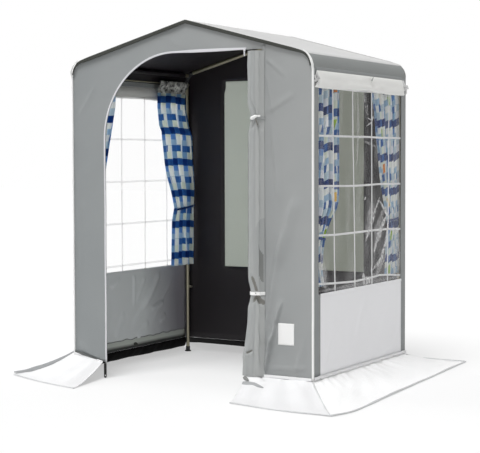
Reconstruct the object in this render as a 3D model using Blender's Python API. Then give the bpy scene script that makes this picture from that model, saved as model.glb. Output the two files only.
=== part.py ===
"""Kitchen tent: a steel frame, a sewn cover with a rolled door, windows, curtains and mud flaps.

Metres, +Z up. The origin is on the ground at the middle of the four walls. The door faces -Y.
The frame stands on four telescopic legs. The cover is a roof sheet, four walls and the flaps
that are sewn to their lower hems and lie outside on the ground. The hem is drawn up a little at
the left front corner.
"""
import math

import bmesh
import bpy
from mathutils import Matrix, Vector

# Driving dimensions
WIDTH = 1.62
DEPTH = 1.25
RIDGE_Z = 2.10
SLOPE = 0.27
HEM_Z = 0.095
CORNER_HEM_Z = 0.138
SHOULDER_R = 0.095
ROOF_EDGE_DEG = 35.0
ROOF_OVERHANG = 0.012
CLOTH = 0.0025
GAP = 0.0003

# Frame tubes
TUBE_R = 0.0125
BORE_R = 0.0115
INNER_TUBE_R = 0.0110
PLUG_R = 0.0111
PLUG_LENGTH = 0.040
LEG_X = 0.781
LEG_Y = 0.597
LEG_SPLIT_Z = 0.42
LEG_LAP = 0.25
ELBOW_R = 0.070
FOOT_R = 0.022
RIDGE_STUB = 0.040
RAIL_X = LEG_X
RAIL_Z = 1.808
RAIL_R = 0.004

# Door opening in the front wall
JAMB_X = -0.572
SEAM_X = 0.495
ARCH_Z = 1.429
ARCH_R = 0.486
DOOR_TOP_Z = ARCH_Z + ARCH_R

# Windows, their covers and the panels below them
WINDOW_Y = 0.557
WINDOW_TOP_Z = 1.800
RIGHT_SILL_Z = 0.562
LEFT_SILL_Z = 0.595
PANE = 0.0010
BAR_WIDTH = 0.012
BAR_DEPTH = 0.0022
PITCH_Y = 0.257
PITCH_Z = 0.267
LOWEST_BAR_Z = 0.633
BACK_WINDOW_X = 0.543
BACK_SILL_Z = 0.590
COVER_TOP_Z = 1.789
COVER_LOW_Z = 1.700
COVER_FRONT_Y = -0.600
COVER_BACK_Y = 0.558

# Curtains: each row is a height, the two edges' distances from the middle, and the mean plane
CURTAIN_TOP_Z = 1.801
CURTAIN_LOW_Z = 0.600
FOLDS = 4
FOLD_DEPTH = 0.0154
CURTAIN_SHAPES = {
    "front_right": [(CURTAIN_TOP_Z, 0.232, 0.582, RAIL_X), (1.600, 0.232, 0.582, RAIL_X),
                    (1.300, 0.232, 0.582, RAIL_X), (1.120, 0.265, 0.582, RAIL_X),
                    (0.985, 0.323, 0.582, RAIL_X), (0.900, 0.385, 0.582, RAIL_X),
                    (0.820, 0.435, 0.582, RAIL_X), (0.730, 0.440, 0.582, RAIL_X),
                    (CURTAIN_LOW_Z, 0.420, 0.582, RAIL_X)],
    "back_right": [(CURTAIN_TOP_Z, 0.255, 0.582, RAIL_X), (1.590, 0.286, 0.582, RAIL_X),
                   (1.400, 0.333, 0.582, RAIL_X), (1.300, 0.381, 0.582, RAIL_X),
                   (1.210, 0.426, 0.582, RAIL_X), (1.050, 0.478, 0.582, RAIL_X),
                   (0.945, 0.497, 0.582, RAIL_X), (0.880, 0.490, 0.582, RAIL_X),
                   (0.780, 0.428, 0.582, RAIL_X), (CURTAIN_LOW_Z, 0.430, 0.582, RAIL_X)],
    "back_left": [(CURTAIN_TOP_Z, 0.243, 0.575, RAIL_X), (1.650, 0.243, 0.575, RAIL_X),
                  (1.480, 0.205, 0.572, RAIL_X - 0.046), (1.300, 0.250, 0.594, RAIL_X - 0.046),
                  (1.160, 0.290, 0.607, RAIL_X - 0.046), (0.980, 0.356, 0.609, RAIL_X - 0.046),
                  (0.860, 0.340, 0.609, RAIL_X - 0.046),
                  (CURTAIN_LOW_Z, 0.320, 0.600, RAIL_X - 0.046)],
    "front_left": [(CURTAIN_TOP_Z, 0.240, 0.582, RAIL_X), (1.640, 0.244, 0.582, RAIL_X),
                   (1.500, 0.284, 0.582, RAIL_X), (1.300, 0.340, 0.582, RAIL_X),
                   (1.100, 0.400, 0.582, RAIL_X), (0.930, 0.440, 0.582, RAIL_X),
                   (0.800, 0.430, 0.582, RAIL_X), (CURTAIN_LOW_Z, 0.410, 0.582, RAIL_X)],
}

# Rolled door
ROLL_Y = -0.640
ROLL_TOP_Z = 1.905
ROLL_LOW_Z = 0.098
TIE_ZS = (1.534, 0.562)

# Mud flaps
FLAP_X = 1.1445
FLAP_Y = 1.030

WALL_X = WIDTH / 2
WALL_Y = DEPTH / 2
PITCH = math.atan(SLOPE)
SHOULDER_X = WALL_X - SHOULDER_R
SHOULDER_Z = RIDGE_Z - SLOPE * SHOULDER_X - SHOULDER_R / math.cos(PITCH)
RAFTER_Z = RIDGE_Z - (CLOTH + GAP + TUBE_R) / math.cos(PITCH)
ELBOW_X = LEG_X - ELBOW_R
ELBOW_Z = RAFTER_Z - SLOPE * ELBOW_X - ELBOW_R / math.cos(PITCH)


def clear_scene():
    """Remove every object that the file holds."""
    for item in list(bpy.data.objects):
        bpy.data.objects.remove(item, do_unlink=True)


def linear(hex_colour):
    """Turn an sRGB hex colour to linear RGBA."""
    channels = [int(hex_colour[i:i + 2], 16) / 255 for i in (0, 2, 4)]
    values = [c / 12.92 if c <= 0.04045 else ((c + 0.055) / 1.055) ** 2.4 for c in channels]
    return (*values, 1.0)


def material(name, hex_colour, roughness, metallic=0.0, alpha=1.0):
    """Make one Principled material."""
    made = bpy.data.materials.new(name)
    made.use_nodes = True
    shader = made.node_tree.nodes["Principled BSDF"]
    shader.inputs["Base Color"].default_value = linear(hex_colour)
    shader.inputs["Roughness"].default_value = roughness
    shader.inputs["Metallic"].default_value = metallic
    shader.inputs["Alpha"].default_value = alpha
    made.diffuse_color = linear(hex_colour)
    return made


def finish(name, bm, mat, origin=(0, 0, 0), smooth_deg=0.0):
    """Turn a bmesh in world coordinates into an object whose origin is at the given point."""
    bmesh.ops.remove_doubles(bm, verts=bm.verts, dist=1e-6)
    bmesh.ops.recalc_face_normals(bm, faces=bm.faces)
    bmesh.ops.translate(bm, verts=bm.verts, vec=-Vector(origin))
    mesh = bpy.data.meshes.new(name)
    bm.to_mesh(mesh)
    bm.free()
    if smooth_deg:
        mesh.shade_smooth()
        mesh.set_sharp_from_angle(angle=math.radians(smooth_deg))
    mesh.materials.append(mat)
    made = bpy.data.objects.new(name, mesh)
    made.location = origin
    bpy.context.scene.collection.objects.link(made)
    return made


def helper(name, bm):
    """Make a hidden object that a Boolean modifier reads."""
    bmesh.ops.remove_doubles(bm, verts=bm.verts, dist=1e-6)
    bmesh.ops.recalc_face_normals(bm, faces=bm.faces)
    mesh = bpy.data.meshes.new(name)
    bm.to_mesh(mesh)
    bm.free()
    made = bpy.data.objects.new(name, mesh)
    made.hide_render = True
    made.display_type = "WIRE"
    bpy.context.scene.collection.objects.link(made)
    return made


def boolean(target, other, operation):
    """Add an exact Boolean modifier."""
    modifier = target.modifiers.new(operation.lower(), "BOOLEAN")
    modifier.operation = operation
    modifier.solver = "EXACT"
    modifier.object = other


def axis_matrix(start, direction):
    """Return the matrix that sends +Z to a direction and the origin to a start point."""
    turn = Vector(direction).to_track_quat("Z", "Y").to_matrix().to_4x4()
    return Matrix.Translation(start) @ turn


def add_loft(bm, loops, closed=False):
    """Bridge loops of equal length, and cap the two ends unless the loft closes on itself."""
    rings = [[bm.verts.new(point) for point in loop] for loop in loops]
    count = len(rings[0])
    pairs = list(zip(rings, rings[1:]))
    if closed:
        pairs.append((rings[-1], rings[0]))
    for low, high in pairs:
        for i in range(count):
            j = (i + 1) % count
            bm.faces.new((low[i], low[j], high[j], high[i]))
    if not closed:
        bm.faces.new(rings[0])
        bm.faces.new(rings[-1])


def add_lathe(bm, profile, matrix, segments=20):
    """Revolve a closed (radius, height) profile about the matrix's Z axis."""
    def turned(step):
        angle = 2 * math.pi * step / segments
        return [matrix @ Vector((r * math.cos(angle), r * math.sin(angle), z)) for r, z in profile]
    loops = [turned(step) for step in range(segments)]
    add_loft(bm, loops, closed=True)
    bmesh.ops.remove_doubles(bm, verts=bm.verts, dist=1e-6)
    bmesh.ops.dissolve_degenerate(bm, edges=bm.edges, dist=1e-7)


def add_rod(bm, start, direction, steps, segments=16):
    """Add a solid rod as (distance, radius) steps along a direction."""
    matrix = axis_matrix(start, direction)
    loops = []
    for distance, radius in steps:
        ring = [2 * math.pi * i / segments for i in range(segments)]
        loops.append([matrix @ Vector((radius * math.cos(a), radius * math.sin(a), distance))
                      for a in ring])
    add_loft(bm, loops)


def add_box(bm, low, high):
    """Add a box between two corners."""
    size = Vector(high) - Vector(low)
    centre = (Vector(high) + Vector(low)) / 2
    matrix = Matrix.Translation(centre) @ Matrix.Diagonal((*size, 1.0))
    bmesh.ops.create_cube(bm, size=1.0, matrix=matrix)


def tube(name, start, end, mat, origin=(0, 0, 0), outer=TUBE_R, inner=BORE_R, segments=20):
    """Make a tube with an open bore between two points."""
    run = Vector(end) - Vector(start)
    profile = [(inner, 0), (outer, 0), (outer, run.length), (inner, run.length)]
    bm = bmesh.new()
    add_lathe(bm, profile, axis_matrix(start, run), segments)
    return finish(name, bm, mat, origin, 40)


def add_plate(bm, outline, holes, to_world, thickness):
    """Extrude a flat outline with holes; to_world turns (a, b, depth) into a point."""
    edges = []
    for loop in [outline, *holes]:
        verts = [bm.verts.new(to_world(a, b, 0.0)) for a, b in loop]
        edges += [bm.edges.new((v, verts[(i + 1) % len(verts)])) for i, v in enumerate(verts)]
    bmesh.ops.triangle_fill(bm, edges=edges, use_beauty=True)
    push = Vector(to_world(0, 0, thickness)) - Vector(to_world(0, 0, 0))
    grown = bmesh.ops.extrude_face_region(bm, geom=list(bm.faces))
    moved = [item for item in grown["geom"] if isinstance(item, bmesh.types.BMVert)]
    bmesh.ops.translate(bm, verts=moved, vec=push)


def plate(name, outline, holes, to_world, thickness, mat, origin=(0, 0, 0)):
    """Make an object from one extruded outline."""
    bm = bmesh.new()
    add_plate(bm, outline, holes, to_world, thickness)
    return finish(name, bm, mat, origin)


def add_sheet(bm, point, columns, rows, thickness):
    """Add a closed thin sheet about the surface point(u, v), with u and v from 0 to 1."""
    def normal(u, v):
        step = 1e-4
        along = Vector(point(u + step, v)) - Vector(point(u - step, v))
        across = Vector(point(u, v + step)) - Vector(point(u, v - step))
        return along.cross(across).normalized()
    front = {}
    back = {}
    for i in range(columns + 1):
        for j in range(rows + 1):
            u, v = i / columns, j / rows
            place, out = Vector(point(u, v)), normal(u, v) * thickness / 2
            front[i, j] = bm.verts.new(place + out)
            back[i, j] = bm.verts.new(place - out)
    for i in range(columns):
        for j in range(rows):
            bm.faces.new((front[i, j], front[i + 1, j], front[i + 1, j + 1], front[i, j + 1]))
            bm.faces.new((back[i, j], back[i, j + 1], back[i + 1, j + 1], back[i + 1, j]))
    for i in range(columns):
        for j in (0, rows):
            bm.faces.new((front[i, j], front[i + 1, j], back[i + 1, j], back[i, j]))
    for j in range(rows):
        for i in (0, columns):
            bm.faces.new((front[i, j], front[i, j + 1], back[i, j + 1], back[i, j]))


def smoothstep(low, high, value):
    """Rise smoothly from 0 to 1 between two values."""
    t = min(max((value - low) / (high - low), 0.0), 1.0)
    return t * t * (3 - 2 * t)


def blend(low, high, share):
    """Mix two numbers."""
    return low + (high - low) * share


# Frame

def end_name(x_side, y_side):
    """Name a corner of the tent."""
    return f"{'front' if y_side < 0 else 'back'}_{'left' if x_side < 0 else 'right'}"


def leg(x_side, y_side, steel, nylon, brass):
    """Make one telescopic leg: outer tube with its screw boss, inner tube, foot and wing screw."""
    tag = end_name(x_side, y_side)
    x, y = x_side * LEG_X, y_side * LEG_Y
    screw_z = LEG_SPLIT_Z + 0.022
    inward = (-x_side, 0, 0)

    upper = tube(f"leg_upper_{tag}", (x, y, LEG_SPLIT_Z), (x, y, ELBOW_Z - GAP), steel)
    boss = bmesh.new()
    add_rod(boss, (x, y, screw_z), inward, [(BORE_R + 0.0004, 0.008), (TUBE_R + 0.010, 0.008)], 12)
    boolean(upper, helper(f"boss_{tag}", boss), "UNION")
    hole = bmesh.new()
    add_rod(hole, (x, y, screw_z), inward, [(0.006, 0.0034), (TUBE_R + 0.020, 0.0034)], 12)
    boolean(upper, helper(f"screw_hole_{tag}", hole), "DIFFERENCE")

    tube(f"leg_lower_{tag}", (x, y, 0.006 + GAP), (x, y, LEG_SPLIT_Z + LEG_LAP), steel,
         (x, y, 0), INNER_TUBE_R, INNER_TUBE_R - 0.001, 20)

    foot = bmesh.new()
    cup_in, cup_out = INNER_TUBE_R + GAP, INNER_TUBE_R + 0.0032
    profile = [(0, 0), (FOOT_R - 0.002, 0), (FOOT_R, 0.002), (FOOT_R - 0.001, 0.005),
               (cup_out, 0.009), (cup_out, 0.034), (cup_in, 0.034), (cup_in, 0.006), (0, 0.006)]
    add_lathe(foot, profile, Matrix.Translation((x, y, 0)), 20)
    finish(f"foot_{tag}", foot, nylon, (x, y, 0), 40)

    screw = bmesh.new()
    tip = INNER_TUBE_R + GAP
    head = TUBE_R + 0.012
    add_rod(screw, (x, y, screw_z), inward,
            [(tip, 0.003), (head, 0.003), (head, 0.0065), (head + 0.007, 0.0055)], 12)
    made = finish(f"wing_screw_{tag}", screw, brass, (x, y, screw_z), 40)
    wings = bmesh.new()
    lobe_r, lobe_out, wing_depth = 0.0055, 0.0105, 0.0030
    lobes = [math.radians(-150 + 300 * i / 8) for i in range(9)]
    outline = [(lobe_out + lobe_r * math.cos(a), lobe_r * math.sin(a)) for a in lobes]
    outline += [(-a, -b) for a, b in outline]
    start = x - x_side * (head + 0.0015 + wing_depth / 2) - wing_depth / 2
    add_plate(wings, outline, [], lambda a, b, d: (start + d, y + a, screw_z + b), wing_depth)
    boolean(made, helper(f"wings_{tag}", wings), "UNION")


def elbow(x_side, y_side, nylon):
    """Make the moulded corner elbow that turns from the leg into the rafter and holds the eave pole."""
    tag = end_name(x_side, y_side)
    y = y_side * LEG_Y
    turn = math.pi / 2 - PITCH
    path = [(ELBOW_X + ELBOW_R, ELBOW_Z - PLUG_LENGTH, 0.0, PLUG_R),
            (ELBOW_X + ELBOW_R, ELBOW_Z, 0.0, PLUG_R),
            (ELBOW_X + ELBOW_R, ELBOW_Z, 0.0, TUBE_R)]
    steps = 6
    for i in range(1, steps + 1):
        angle = turn * i / steps
        path.append((ELBOW_X + ELBOW_R * math.cos(angle), ELBOW_Z + ELBOW_R * math.sin(angle),
                     angle, TUBE_R))
    end_x, end_z = path[-1][0], path[-1][1]
    for run, radius in ((0.0, PLUG_R), (PLUG_LENGTH, PLUG_R)):
        path.append((end_x - run * math.cos(PITCH), end_z + run * math.sin(PITCH), turn, radius))
    loops = []
    for px, pz, angle, radius in path:
        out = Vector((x_side * math.cos(angle), 0, math.sin(angle)))
        loops.append([Vector((x_side * px, y, pz)) + radius * (math.cos(a) * out
                      + math.sin(a) * Vector((0, 1, 0)))
                      for a in (2 * math.pi * i / 16 for i in range(16))])
    bm = bmesh.new()
    add_loft(bm, loops)
    made = finish(f"corner_elbow_{tag}", bm, nylon, (0, 0, 0), 40)
    spigot = bmesh.new()
    add_rod(spigot, eave_point(x_side, y_side), (0, -y_side, 0),
            [(0.002, 0.0100), (0.016, 0.0105), (0.0165, TUBE_R), (0.020, TUBE_R), (0.020, PLUG_R),
             (0.020 + PLUG_LENGTH, PLUG_R)], 16)
    boolean(made, helper(f"spigot_{tag}", spigot), "UNION")


def eave_point(x_side, y_side):
    """Return the middle of the elbow's bend, where the eave pole's spigot starts."""
    reach = ELBOW_R * math.sqrt(0.5)
    return (x_side * (ELBOW_X + reach), y_side * LEG_Y, ELBOW_Z + reach)


def rafter(x_side, y_side, steel):
    """Make one rafter tube between the elbow and the ridge joint."""
    turn = math.pi / 2 - PITCH
    low_x = ELBOW_X + ELBOW_R * math.cos(turn) - GAP
    low = Vector((x_side * low_x, y_side * LEG_Y, RAFTER_Z - SLOPE * low_x))
    high_x = RIDGE_STUB * math.cos(PITCH) + GAP
    high = Vector((x_side * high_x, y_side * LEG_Y, RAFTER_Z - SLOPE * high_x))
    tube(f"rafter_{end_name(x_side, y_side)}", low, high, steel)


def ridge_joint(y_side, nylon):
    """Make the moulded three-way joint of two rafters and the ridge pole."""
    tag = "front" if y_side < 0 else "back"
    centre = Vector((0, y_side * LEG_Y, RAFTER_Z))
    down = [(0.0, TUBE_R), (RIDGE_STUB, TUBE_R), (RIDGE_STUB, PLUG_R),
            (RIDGE_STUB + PLUG_LENGTH, PLUG_R)]
    bodies = []
    for x_side in (-1, 1):
        direction = Vector((x_side * math.cos(PITCH), 0, -math.sin(PITCH)))
        arm = bmesh.new()
        add_rod(arm, centre, direction, down, 16)
        bodies.append(arm)
    main = finish(f"ridge_joint_{tag}", bodies[0], nylon, (0, 0, 0), 40)
    boolean(main, helper(f"ridge_arm_{tag}", bodies[1]), "UNION")
    spigot = bmesh.new()
    add_rod(spigot, centre, (0, -y_side, 0),
            [(-0.010, 0.0105), (0.010, 0.0118), (0.020, TUBE_R), (0.020, PLUG_R),
             (0.020 + PLUG_LENGTH, PLUG_R)], 16)
    boolean(main, helper(f"ridge_spigot_{tag}", spigot), "UNION")


def curtain_rail(x_side, mat):
    """Make the rod that carries the curtains, with an eye round the leg at each end."""
    x = x_side * RAIL_X
    eye_in, eye_out, eye_half = TUBE_R + GAP, TUBE_R + 0.004, 0.006
    reach = LEG_Y - eye_out + 0.001
    bm = bmesh.new()
    add_rod(bm, (x, -reach, RAIL_Z), (0, 1, 0), [(0, RAIL_R), (2 * reach, RAIL_R)], 10)
    made = finish(f"curtain_rail_{'left' if x_side < 0 else 'right'}", bm, mat, (0, 0, 0), 40)
    for y_side in (-1, 1):
        eye = bmesh.new()
        profile = [(eye_in, -eye_half), (eye_out, -eye_half), (eye_out, eye_half),
                   (eye_in, eye_half)]
        add_lathe(eye, profile, Matrix.Translation((x_side * LEG_X, y_side * LEG_Y, RAIL_Z)), 20)
        boolean(made, helper(f"rail_eye_{x_side}_{y_side}", eye), "UNION")


def frame_parts(steel, nylon, brass):
    """Make the whole frame."""
    for x_side in (-1, 1):
        for y_side in (-1, 1):
            leg(x_side, y_side, steel, nylon, brass)
            elbow(x_side, y_side, nylon)
            rafter(x_side, y_side, steel)
        start, end = Vector(eave_point(x_side, -1)), Vector(eave_point(x_side, 1))
        inset = Vector((0, 0.020 + GAP, 0))
        tube(f"eave_pole_{'left' if x_side < 0 else 'right'}", start + inset, end - inset, steel)
        curtain_rail(x_side, steel)
    for y_side in (-1, 1):
        ridge_joint(y_side, nylon)
    reach = LEG_Y - 0.020 - GAP
    tube("ridge_pole", (0, -reach, RAFTER_Z), (0, reach, RAFTER_Z), steel)


# Cover

def shoulder_arc(x_side, radius, start_deg, end_deg, steps):
    """Return points of the rounded shoulder between two angles above the horizontal."""
    angles = [math.radians(blend(start_deg, end_deg, i / steps)) for i in range(steps + 1)]
    return [(x_side * (SHOULDER_X + radius * math.cos(a)), SHOULDER_Z + radius * math.sin(a))
            for a in angles]


def roof_cover(mat):
    """Make the roof sheet, which ends part-way round each shoulder."""
    top_deg = 90 - math.degrees(PITCH)
    outer_r, inner_r = SHOULDER_R, SHOULDER_R - CLOTH
    outer = (shoulder_arc(1, outer_r, ROOF_EDGE_DEG, top_deg, 5) + [(0, RIDGE_Z)]
             + shoulder_arc(-1, outer_r, top_deg, ROOF_EDGE_DEG, 5))
    inner = (shoulder_arc(1, inner_r, ROOF_EDGE_DEG, top_deg, 5)
             + [(0, RIDGE_Z - CLOTH / math.cos(PITCH))]
             + shoulder_arc(-1, inner_r, top_deg, ROOF_EDGE_DEG, 5))
    half = WALL_Y + ROOF_OVERHANG
    plate("roof_cover", outer + inner[::-1], [], lambda a, b, d: (a, d - half, b), 2 * half, mat)


def gable_top():
    """Return the gable wall's edge under the roof, from the right hem to the left hem."""
    top_deg = 90 - math.degrees(PITCH)
    low_end = ROOF_EDGE_DEG - 0.3
    under = SHOULDER_R - CLOTH - GAP
    right = (shoulder_arc(1, SHOULDER_R, 0, low_end, 3)
             + shoulder_arc(1, under, low_end, top_deg, 4))
    left = [(-x, z) for x, z in reversed(right)]
    peak = (0, RIDGE_Z - (CLOTH + GAP) / math.cos(PITCH))
    return [(WALL_X, HEM_Z)] + right + [peak] + left


def front_wall(mat):
    """Make the front wall with its arched door opening, which runs down to the hem."""
    arch_x = JAMB_X + ARCH_R
    arc = [math.radians(180 - 90 * i / 10) for i in range(11)]
    door = [(JAMB_X, HEM_Z)]
    door += [(arch_x + ARCH_R * math.cos(a), ARCH_Z + ARCH_R * math.sin(a)) for a in arc]
    door += [(SEAM_X, DOOR_TOP_Z), (SEAM_X, HEM_Z)]
    corner = [(-WALL_X, CORNER_HEM_Z)]
    plate("front_wall", gable_top() + corner + door, [], lambda a, b, d: (a, d - WALL_Y, b), CLOTH, mat)


def back_wall(mat):
    """Make the back wall with its window opening."""
    hole = [(-BACK_WINDOW_X, BACK_SILL_Z), (BACK_WINDOW_X, BACK_SILL_Z),
            (BACK_WINDOW_X, WINDOW_TOP_Z), (-BACK_WINDOW_X, WINDOW_TOP_Z)]
    corner = [(-WALL_X, HEM_Z)]
    plate("back_wall", gable_top() + corner, [hole], lambda a, b, d: (a, WALL_Y - CLOTH + d, b), CLOTH, mat)


def side_wall(x_side, sill_z, mat):
    """Make a side wall: a flat sheet with a window opening, and the curved band above it."""
    half = WALL_Y - CLOTH - GAP
    tag = "left" if x_side < 0 else "right"
    bm = bmesh.new()
    ys = [-half, -WINDOW_Y, WINDOW_Y, half]
    zs = [HEM_Z, sill_z, WINDOW_TOP_Z]
    faces = {}

    def column(depth, hem_z):
        flat = [(x_side * (WALL_X - depth), z) for z in [hem_z] + zs[1:]]
        arc = shoulder_arc(x_side, SHOULDER_R - depth, 0, ROOF_EDGE_DEG - 0.3, 3)
        return flat + arc

    for side, depth in (("out", 0.0), ("in", CLOTH)):
        for i, y in enumerate(ys):
            raised = x_side < 0 and i == 0
            for k, (x, z) in enumerate(column(depth, CORNER_HEM_Z if raised else HEM_Z)):
                faces[side, i, k] = bm.verts.new((x, y, z))
    rows = len(column(0.0, HEM_Z)) - 1
    solid = {(i, k) for i in range(3) for k in range(rows)} - {(1, 1)}
    for i, k in solid:
        for side in ("out", "in"):
            bm.faces.new([faces[side, i, k], faces[side, i + 1, k],
                          faces[side, i + 1, k + 1], faces[side, i, k + 1]])
        edges = {(i - 1, k): ((i, k), (i, k + 1)), (i + 1, k): ((i + 1, k), (i + 1, k + 1)),
                 (i, k - 1): ((i, k), (i + 1, k)), (i, k + 1): ((i, k + 1), (i + 1, k + 1))}
        for neighbour, (a, b) in edges.items():
            if neighbour not in solid:
                bm.faces.new([faces["out", *a], faces["out", *b], faces["in", *b],
                              faces["in", *a]])
    finish(f"{tag}_wall", bm, mat)


def window(name, low, high, plane, bars_a, bars_b, to_world, mat):
    """Make a clear pane with its welded bars standing proud on both faces."""
    (a0, b0), (a1, b1) = low, high
    bm = bmesh.new()

    def block(p, q, depth):
        corners = [Vector(to_world(p[0], p[1], plane - depth / 2)),
                   Vector(to_world(q[0], q[1], plane + depth / 2))]
        return ([min(c[i] for c in corners) for i in range(3)],
                [max(c[i] for c in corners) for i in range(3)])

    add_box(bm, *block((a0, b0), (a1, b1), PANE))
    made = finish(name, bm, mat)
    half = BAR_WIDTH / 2
    inset = 0.001
    for number, a in enumerate(bars_a):
        bar = bmesh.new()
        add_box(bar, *block((a - half, b0 + inset), (a + half, b1 - inset), BAR_DEPTH))
        boolean(made, helper(f"{name}_upright_{number}", bar), "UNION")
    for number, b in enumerate(bars_b):
        bar = bmesh.new()
        add_box(bar, *block((a0 + inset, b - half), (a1 - inset, b + half), BAR_DEPTH - 0.0004))
        boolean(made, helper(f"{name}_crossbar_{number}", bar), "UNION")


def side_window(x_side, sill_z, mat):
    """Make a side window of two rows of uprights and the crossbars above its sill."""
    tag = "left" if x_side < 0 else "right"
    uprights = [PITCH_Y * (i - 1.5) for i in range(4)]
    crossbars = [LOWEST_BAR_Z + PITCH_Z * i for i in range(5)]
    window(f"{tag}_window", (-WINDOW_Y + GAP, sill_z + GAP), (WINDOW_Y - GAP, WINDOW_TOP_Z - GAP),
           WALL_X - CLOTH / 2, uprights, crossbars, lambda a, b, d: (x_side * d, a, b), mat)


def lower_panel(x_side, sill_z, mat):
    """Make the panel that lines a side wall below its window."""
    tag = "left" if x_side < 0 else "right"
    outline = [(-WINDOW_Y, HEM_Z + 0.010), (WINDOW_Y, HEM_Z + 0.010),
               (WINDOW_Y, sill_z + 0.004), (-WINDOW_Y, sill_z + 0.004)]
    plate(f"{tag}_lower_panel", outline, [],
          lambda a, b, d: (x_side * (WALL_X + GAP + d), a, b), 0.002, mat)


def rolled_cover(x_side, mat):
    """Make a window cover folded up under the eave, from COVER_FRONT_Y to COVER_BACK_Y."""
    tag = "left" if x_side < 0 else "right"
    base = WALL_X + GAP
    loops = []
    count = 12
    for i in range(count + 1):
        share = 2 * i / count - 1
        sag = 0.004 * math.cos(share * math.pi * 1.5) - 0.003
        section = [(0.0, COVER_TOP_Z), (0.009, COVER_TOP_Z - 0.001), (0.016, COVER_TOP_Z - 0.018),
                   (0.021, COVER_TOP_Z - 0.045), (0.026, COVER_LOW_Z + 0.018 + sag),
                   (0.022, COVER_LOW_Z + 0.004 + sag), (0.012, COVER_LOW_Z + sag),
                   (0.0, COVER_LOW_Z + 0.006 + sag)]
        loop = []
        for out, z in section:
            y = blend(COVER_FRONT_Y, COVER_BACK_Y, i / count)
            loop.append((x_side * (base + out), y, z))
        loops.append(loop)
    bm = bmesh.new()
    add_loft(bm, loops)
    finish(f"{tag}_cover_roll", bm, mat, (x_side * base, 0, COVER_TOP_Z), 50)


def back_cover(mat):
    """Make the back window's cover, which hangs closed over it."""
    half, low, high = 0.575, 0.560, 1.830

    def surface(u, v):
        wave = 0.0012 * math.sin(5 * math.pi * u) * math.sin(math.pi * v)
        return (blend(-half, half, u), WALL_Y + GAP + CLOTH / 2 + 0.0020 * v + abs(wave),
                blend(high, low, v))

    bm = bmesh.new()
    add_sheet(bm, surface, 8, 4, 0.0020)
    finish("back_cover", bm, mat, (0, WALL_Y + GAP, high), 30)


def roll_width(z):
    """Return the rolled door's half width: drawn in at its ties and flared at the bottom."""
    width = 0.0410
    for tie_z in TIE_ZS:
        width -= 0.0090 * (1 - smoothstep(0.016, 0.100, abs(z - tie_z)))
    return width + 0.021 * (1 - smoothstep(ROLL_LOW_Z, 0.50, z))


def roll_section(z, grow, folds, count):
    """Return the rolled door's outline at one height, its right side on the seam."""
    half = roll_width(z)
    depth = 0.026 * (half / 0.041) ** 0.6
    loop = []
    for i in range(count):
        angle = 2 * math.pi * i / count
        pleat = 1 - folds * (0.5 + 0.5 * math.cos(4 * angle + 7 * z))
        loop.append(Vector((SEAM_X - 0.0008 - half + (half * pleat + grow) * math.cos(angle),
                            ROLL_Y + (depth * pleat + grow) * math.sin(angle), z)))
    return loop


def door_roll(mat):
    """Make the door flap rolled up beside its seam."""
    levels = 16
    heights = [blend(ROLL_LOW_Z, ROLL_TOP_Z, i / levels) for i in range(levels + 1)]
    heights = [z for z in heights if all(abs(z - tie_z) > 0.07 for tie_z in TIE_ZS)]
    heights += [tie_z + step for tie_z in TIE_ZS for step in (-0.060, -0.015, 0.015, 0.060)]
    heights.sort()
    bm = bmesh.new()
    add_loft(bm, [roll_section(z, 0.0, 0.09, 16) for z in heights])
    finish("door_roll", bm, mat, (SEAM_X, ROLL_Y, 0), 50)


def door_tie(name, tie_z, mat):
    """Make one tie: a band round the rolled door with its toggle bar in front."""
    bm = bmesh.new()
    half_height = 0.010
    loops = []
    for grow, z in ((0.0012, -1), (0.0032, -1), (0.0032, 1), (0.0012, 1)):
        ring = roll_section(tie_z, grow, 0.0, 16)
        loops.append([point + Vector((0, 0, z * half_height)) for point in ring])
    add_loft(bm, loops, closed=True)
    made = finish(name, bm, mat, (SEAM_X, ROLL_Y, 0), 50)
    toggle = bmesh.new()
    half = roll_width(tie_z)
    front = ROLL_Y - 0.026 * (half / 0.041) ** 0.6 - 0.0032
    add_rod(toggle, (SEAM_X - half - 0.020, front - 0.0025, tie_z), (1, 0, 0),
            [(0.0, 0.0025), (0.002, 0.0045), (0.038, 0.0045), (0.040, 0.0025)], 10)
    boolean(made, helper(f"{name}_toggle", toggle), "UNION")


def zip_slider(mat):
    """Make the door zip's slider with its hanging pull."""
    x, z = 0.385, DOOR_TOP_Z
    front = -WALL_Y - GAP
    bm = bmesh.new()
    add_box(bm, (x - 0.006, front - 0.006, z - 0.008), (x + 0.006, front, z + 0.006))
    made = finish("zip_slider", bm, mat, (x, front, z))
    pull = bmesh.new()
    add_box(pull, (x - 0.004, front - 0.0055, z - 0.036), (x + 0.004, front - 0.0030, z - 0.004))
    boolean(made, helper("zip_pull", pull), "UNION")


def peg_loop(mat):
    """Make the rubber peg strap that hangs from the hem beside the door, with its eye."""
    x, y, top, low = -0.583, -WALL_Y - 0.006, HEM_Z - 0.003, 0.004
    eye_z, eye_r = low + 0.014, 0.0050
    hole = [(x + eye_r * math.cos(a), eye_z + eye_r * math.sin(a))
            for a in (2 * math.pi * i / 12 for i in range(12))]
    outline = [(x - 0.009, top), (x - 0.009, low + 0.006), (x - 0.005, low), (x + 0.005, low),
               (x + 0.009, low + 0.006), (x + 0.009, top)]
    plate("peg_loop", outline, [hole], lambda a, b, d: (a, y + d, b), 0.003, mat,
          (x, y + 0.0015, top))


# Flaps

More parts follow.
